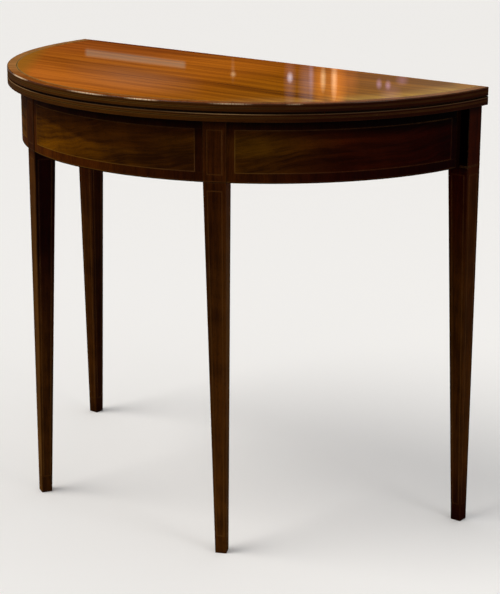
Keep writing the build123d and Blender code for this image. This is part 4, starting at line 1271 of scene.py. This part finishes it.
def seat_of(group):
    """Where a screw's head lies, and which way it faces."""
    end_length, rim_depth = 2 * MM, 0.2 * MM
    span = max(((a - b).length, i, j) for i, a in enumerate(group) for j, b in enumerate(group) if i < j)
    head_end, tip_end = sorted((group[span[1]], group[span[2]]),
                               key=lambda end: sum((p - end).length for p in group))
    rough = (head_end - tip_end).normalized()
    heights = [p.dot(rough) for p in group]
    tip = [p for p, h in zip(group, heights) if h < min(heights) + end_length]
    top = [p for p, h in zip(group, heights) if h > max(heights) - end_length]
    facing = (middle_of(top) - middle_of(tip)).normalized()
    level = max(p.dot(facing) for p in group)
    rim = [p for p in group if p.dot(facing) > level - rim_depth]
    return Vector([(min(column) + max(column)) / 2 for column in zip(*rim)]), facing


def drive_screws(node, name, head, shank, length, material, seed):
    pattern = screw_mesh("pattern_" + name, head, shank, length)
    shape = copy_of(node, 0.005 * MM)
    seats = [seat_of([vertex.co.copy() for vertex in island]) for island in islands_of(shape)]
    shape.free()
    mesh = bpy.data.meshes.new(name)
    mesh.from_pydata([seat for seat, _ in seats], [], [])
    column = mesh.attributes.new("facing", "FLOAT_VECTOR", "POINT")
    for (_, facing), cell in zip(seats, column.data):
        cell.vector = facing
    values = {"Screw": pattern, "Seed": seed, "Material": material}
    piece = run_tree(name, mesh, drive_tree, values, ("facing",))
    bpy.data.objects.remove(pattern)
    finish_piece(piece, node)
    print(name, "screws", len(seats), "faces", len(piece.data.polygons))


wood_screw, hinge_screw = (4.4 * MM, 2.2 * MM), (2.6 * MM, 1.3 * MM)
drive_screws("knuckle_block_screws", "block_screws", *wood_screw, 38 * MM, iron, 3)
drive_screws("pocket_screws", "pocket_screws_slotted", *wood_screw, 34 * MM, iron, 5)
drive_screws("bearer_screws", "bearer_screws_slotted", *wood_screw, 34 * MM, iron, 7)
drive_screws("lower_hinge_screws", "lower_hinge_screws_slotted", *hinge_screw, 14 * MM, brass, 11)
drive_screws("upper_hinge_screws", "upper_hinge_screws_slotted", *hinge_screw, 14 * MM, brass, 13)

# %% [markdown]
# ## The floor
# The table stands on a plain pale floor, wide enough that no view looks past it. It is almost white,
# and matt, so that it only keeps a soft shadow.

# %% Lay the floor
reach = 40.0
corners = [(-reach, -reach, 0), (reach, -reach, 0), (reach, reach, 0), (-reach, reach, 0)]
floor_mesh = bpy.data.meshes.new("floor")
floor_mesh.from_pydata(corners, [], [(0, 1, 2, 3)])
floor_finish, _, floor_shader = new_material("pale floor")
connect(floor_shader, {"Base Color": (0.90, 0.898, 0.895, 1), "Roughness": 0.9, "Specular IOR Level": 0.1})
floor_mesh.materials.append(floor_finish)
floor = new_piece("floor", floor_mesh)
print("floor laid")

# %% [markdown]
# ## The room
# A polished top seen from low down is almost a mirror for whatever stands behind it, so the room is
# kept dim near the horizon and light overhead. Behind the table, seen from the camera, two lines of
# light and a group of small lamps stand just above the horizon. Only the top's reflection at that low
# angle meets them, and the camera itself sees a plain pale wall.

# %% Build the room
world = bpy.data.worlds.new("studio")
world.use_nodes = True
sky = world.node_tree
way = take(sky, "Generated", "ShaderNodeTexCoord")
up = way.parts()[2]
ahead = way.vector("DOT_PRODUCT", (-sin(camera_turn), cos(camera_turn), 0.0), "Value")
aside = way.vector("DOT_PRODUCT", (cos(camera_turn), sin(camera_turn), 0.0), "Value")
behind = ahead.spread(0.80, 0.95)
haze = blend(sky, aside.spread(0.02, 0.12), (0.010, 0.011, 0.009), (0.44, 0.38, 0.30))
horizon = blend(sky, behind, (0.12, 0.115, 0.11), haze)
skewed = aside * -0.13 + up
# Each line: to the side, height, half width, half height, softness, glow
light_lines = ((-0.0655, 0.1488, 0.0290, 0.0022, 0.94, (0.24, 0.50, 0.42)),
               (-0.066, 0.1600, 0.0400, 0.0085, 0.2, (0.07, 0.14, 0.13)))
for at_side, at_height, half_wide, half_high, soft, glow in light_lines:
    beside = (abs(aside - at_side) / half_wide).spread(1.0, soft)
    above = (abs(skewed - at_height) / half_high).spread(1.0, soft * 0.8)
    horizon = blend(sky, beside * above * behind, horizon, glow, "ADD")
# Each lamp: to the side, height, half width, half height, glow
lamps = (
    (-0.0100, 0.1492, 0.0020, 0.0015, (1.8, 1.5, 0.85)),
    (-0.0102, 0.1460, 0.0014, 0.0090, (0.30, 0.24, 0.15)),
    (0.0224, 0.1508, 0.0021, 0.0035, (2.4, 2.4, 2.7)), (0.0224, 0.1530, 0.0040, 0.0200, (0.34, 0.24, 0.30)),
    (0.0320, 0.1550, 0.0056, 0.0200, (0.50, 0.34, 0.40)),
    (0.0345, 0.1500, 0.0018, 0.0160, (0.70, 0.55, 0.70)),
    (0.0398, 0.1540, 0.0058, 0.0170, (1.9, 0.52, 0.06)), (0.0413, 0.1515, 0.0020, 0.0085, (2.1, 1.7, 0.95)),
    (0.0490, 0.1550, 0.0068, 0.0220, (2.7, 0.70, 0.08)), (0.0476, 0.1520, 0.0022, 0.0130, (2.4, 1.8, 1.05)),
    (0.0566, 0.1530, 0.0060, 0.0110, (0.95, 0.24, 0.05)), (0.0731, 0.1540, 0.0020, 0.0034, (1.1, 0.72, 1.2)),
    (0.0782, 0.1545, 0.0020, 0.0030, (1.3, 0.80, 1.3)), (0.0861, 0.1515, 0.0042, 0.0036, (0.75, 0.38, 0.62)),
    (0.0800, 0.1600, 0.0075, 0.0070, (0.40, 0.20, 0.32)))
lamp_place = joined(sky, aside, up, 0.0)
for at_side, at_height, half_wide, half_high, glow in lamps:
    from_lamp = lamp_place.vector("SUBTRACT", (at_side, at_height, 0.0))
    off = from_lamp.vector("DIVIDE", (half_wide, half_high, 1.0)).vector("LENGTH", output="Value")
    near = off.spread(1.0, 0.1) * behind
    horizon = blend(sky, near, horizon, glow, "ADD")
room = horizon.covered(up.spread(0.20, 0.80), (0.76, 0.76, 0.76))
room = room.covered(take(sky, "Is Camera Ray", "ShaderNodeLightPath"), (0.86, 0.855, 0.84))
connect(sky.nodes["Background"], {"Color": room})
bpy.context.scene.world = world
print("room nodes:", len(sky.nodes))

# %% [markdown]
# ## The light
# One broad warm sun from the left front gilds the bow and casts the soft shadow, and a weak soft box
# fills the right end.

# %% Set the light
def shine(name, kind, power, tone, direction):
    """A new lamp that looks in one direction."""
    lamp = bpy.data.lights.new(name, kind)
    lamp.energy, lamp.color = power, tone
    holder = bpy.data.objects.new(name, lamp)
    bpy.context.scene.collection.objects.link(holder)
    holder.rotation_mode = "QUATERNION"
    holder.rotation_quaternion = Vector(direction).to_track_quat("-Z", "Y")
    return holder


sun = shine("main light", "SUN", 1.55, (1.0, 0.96, 0.90), (0.50, 0.60, -0.93))
sun.data.angle = radians(40)
box_place, box_aim = Vector((3.0, -0.2, 1.4)), Vector((0.0, 0.1, 0.5))
box = shine("right box", "AREA", 14.0, (1.0, 0.97, 0.95), box_aim - box_place)
box.location = box_place
box.data.shape, box.data.size, box.data.size_y = "RECTANGLE", 1.0, 1.6
box.visible_camera = False
bpy.context.scene.view_settings.view_transform = "Standard"
print("lights:", sun.name, box.name)
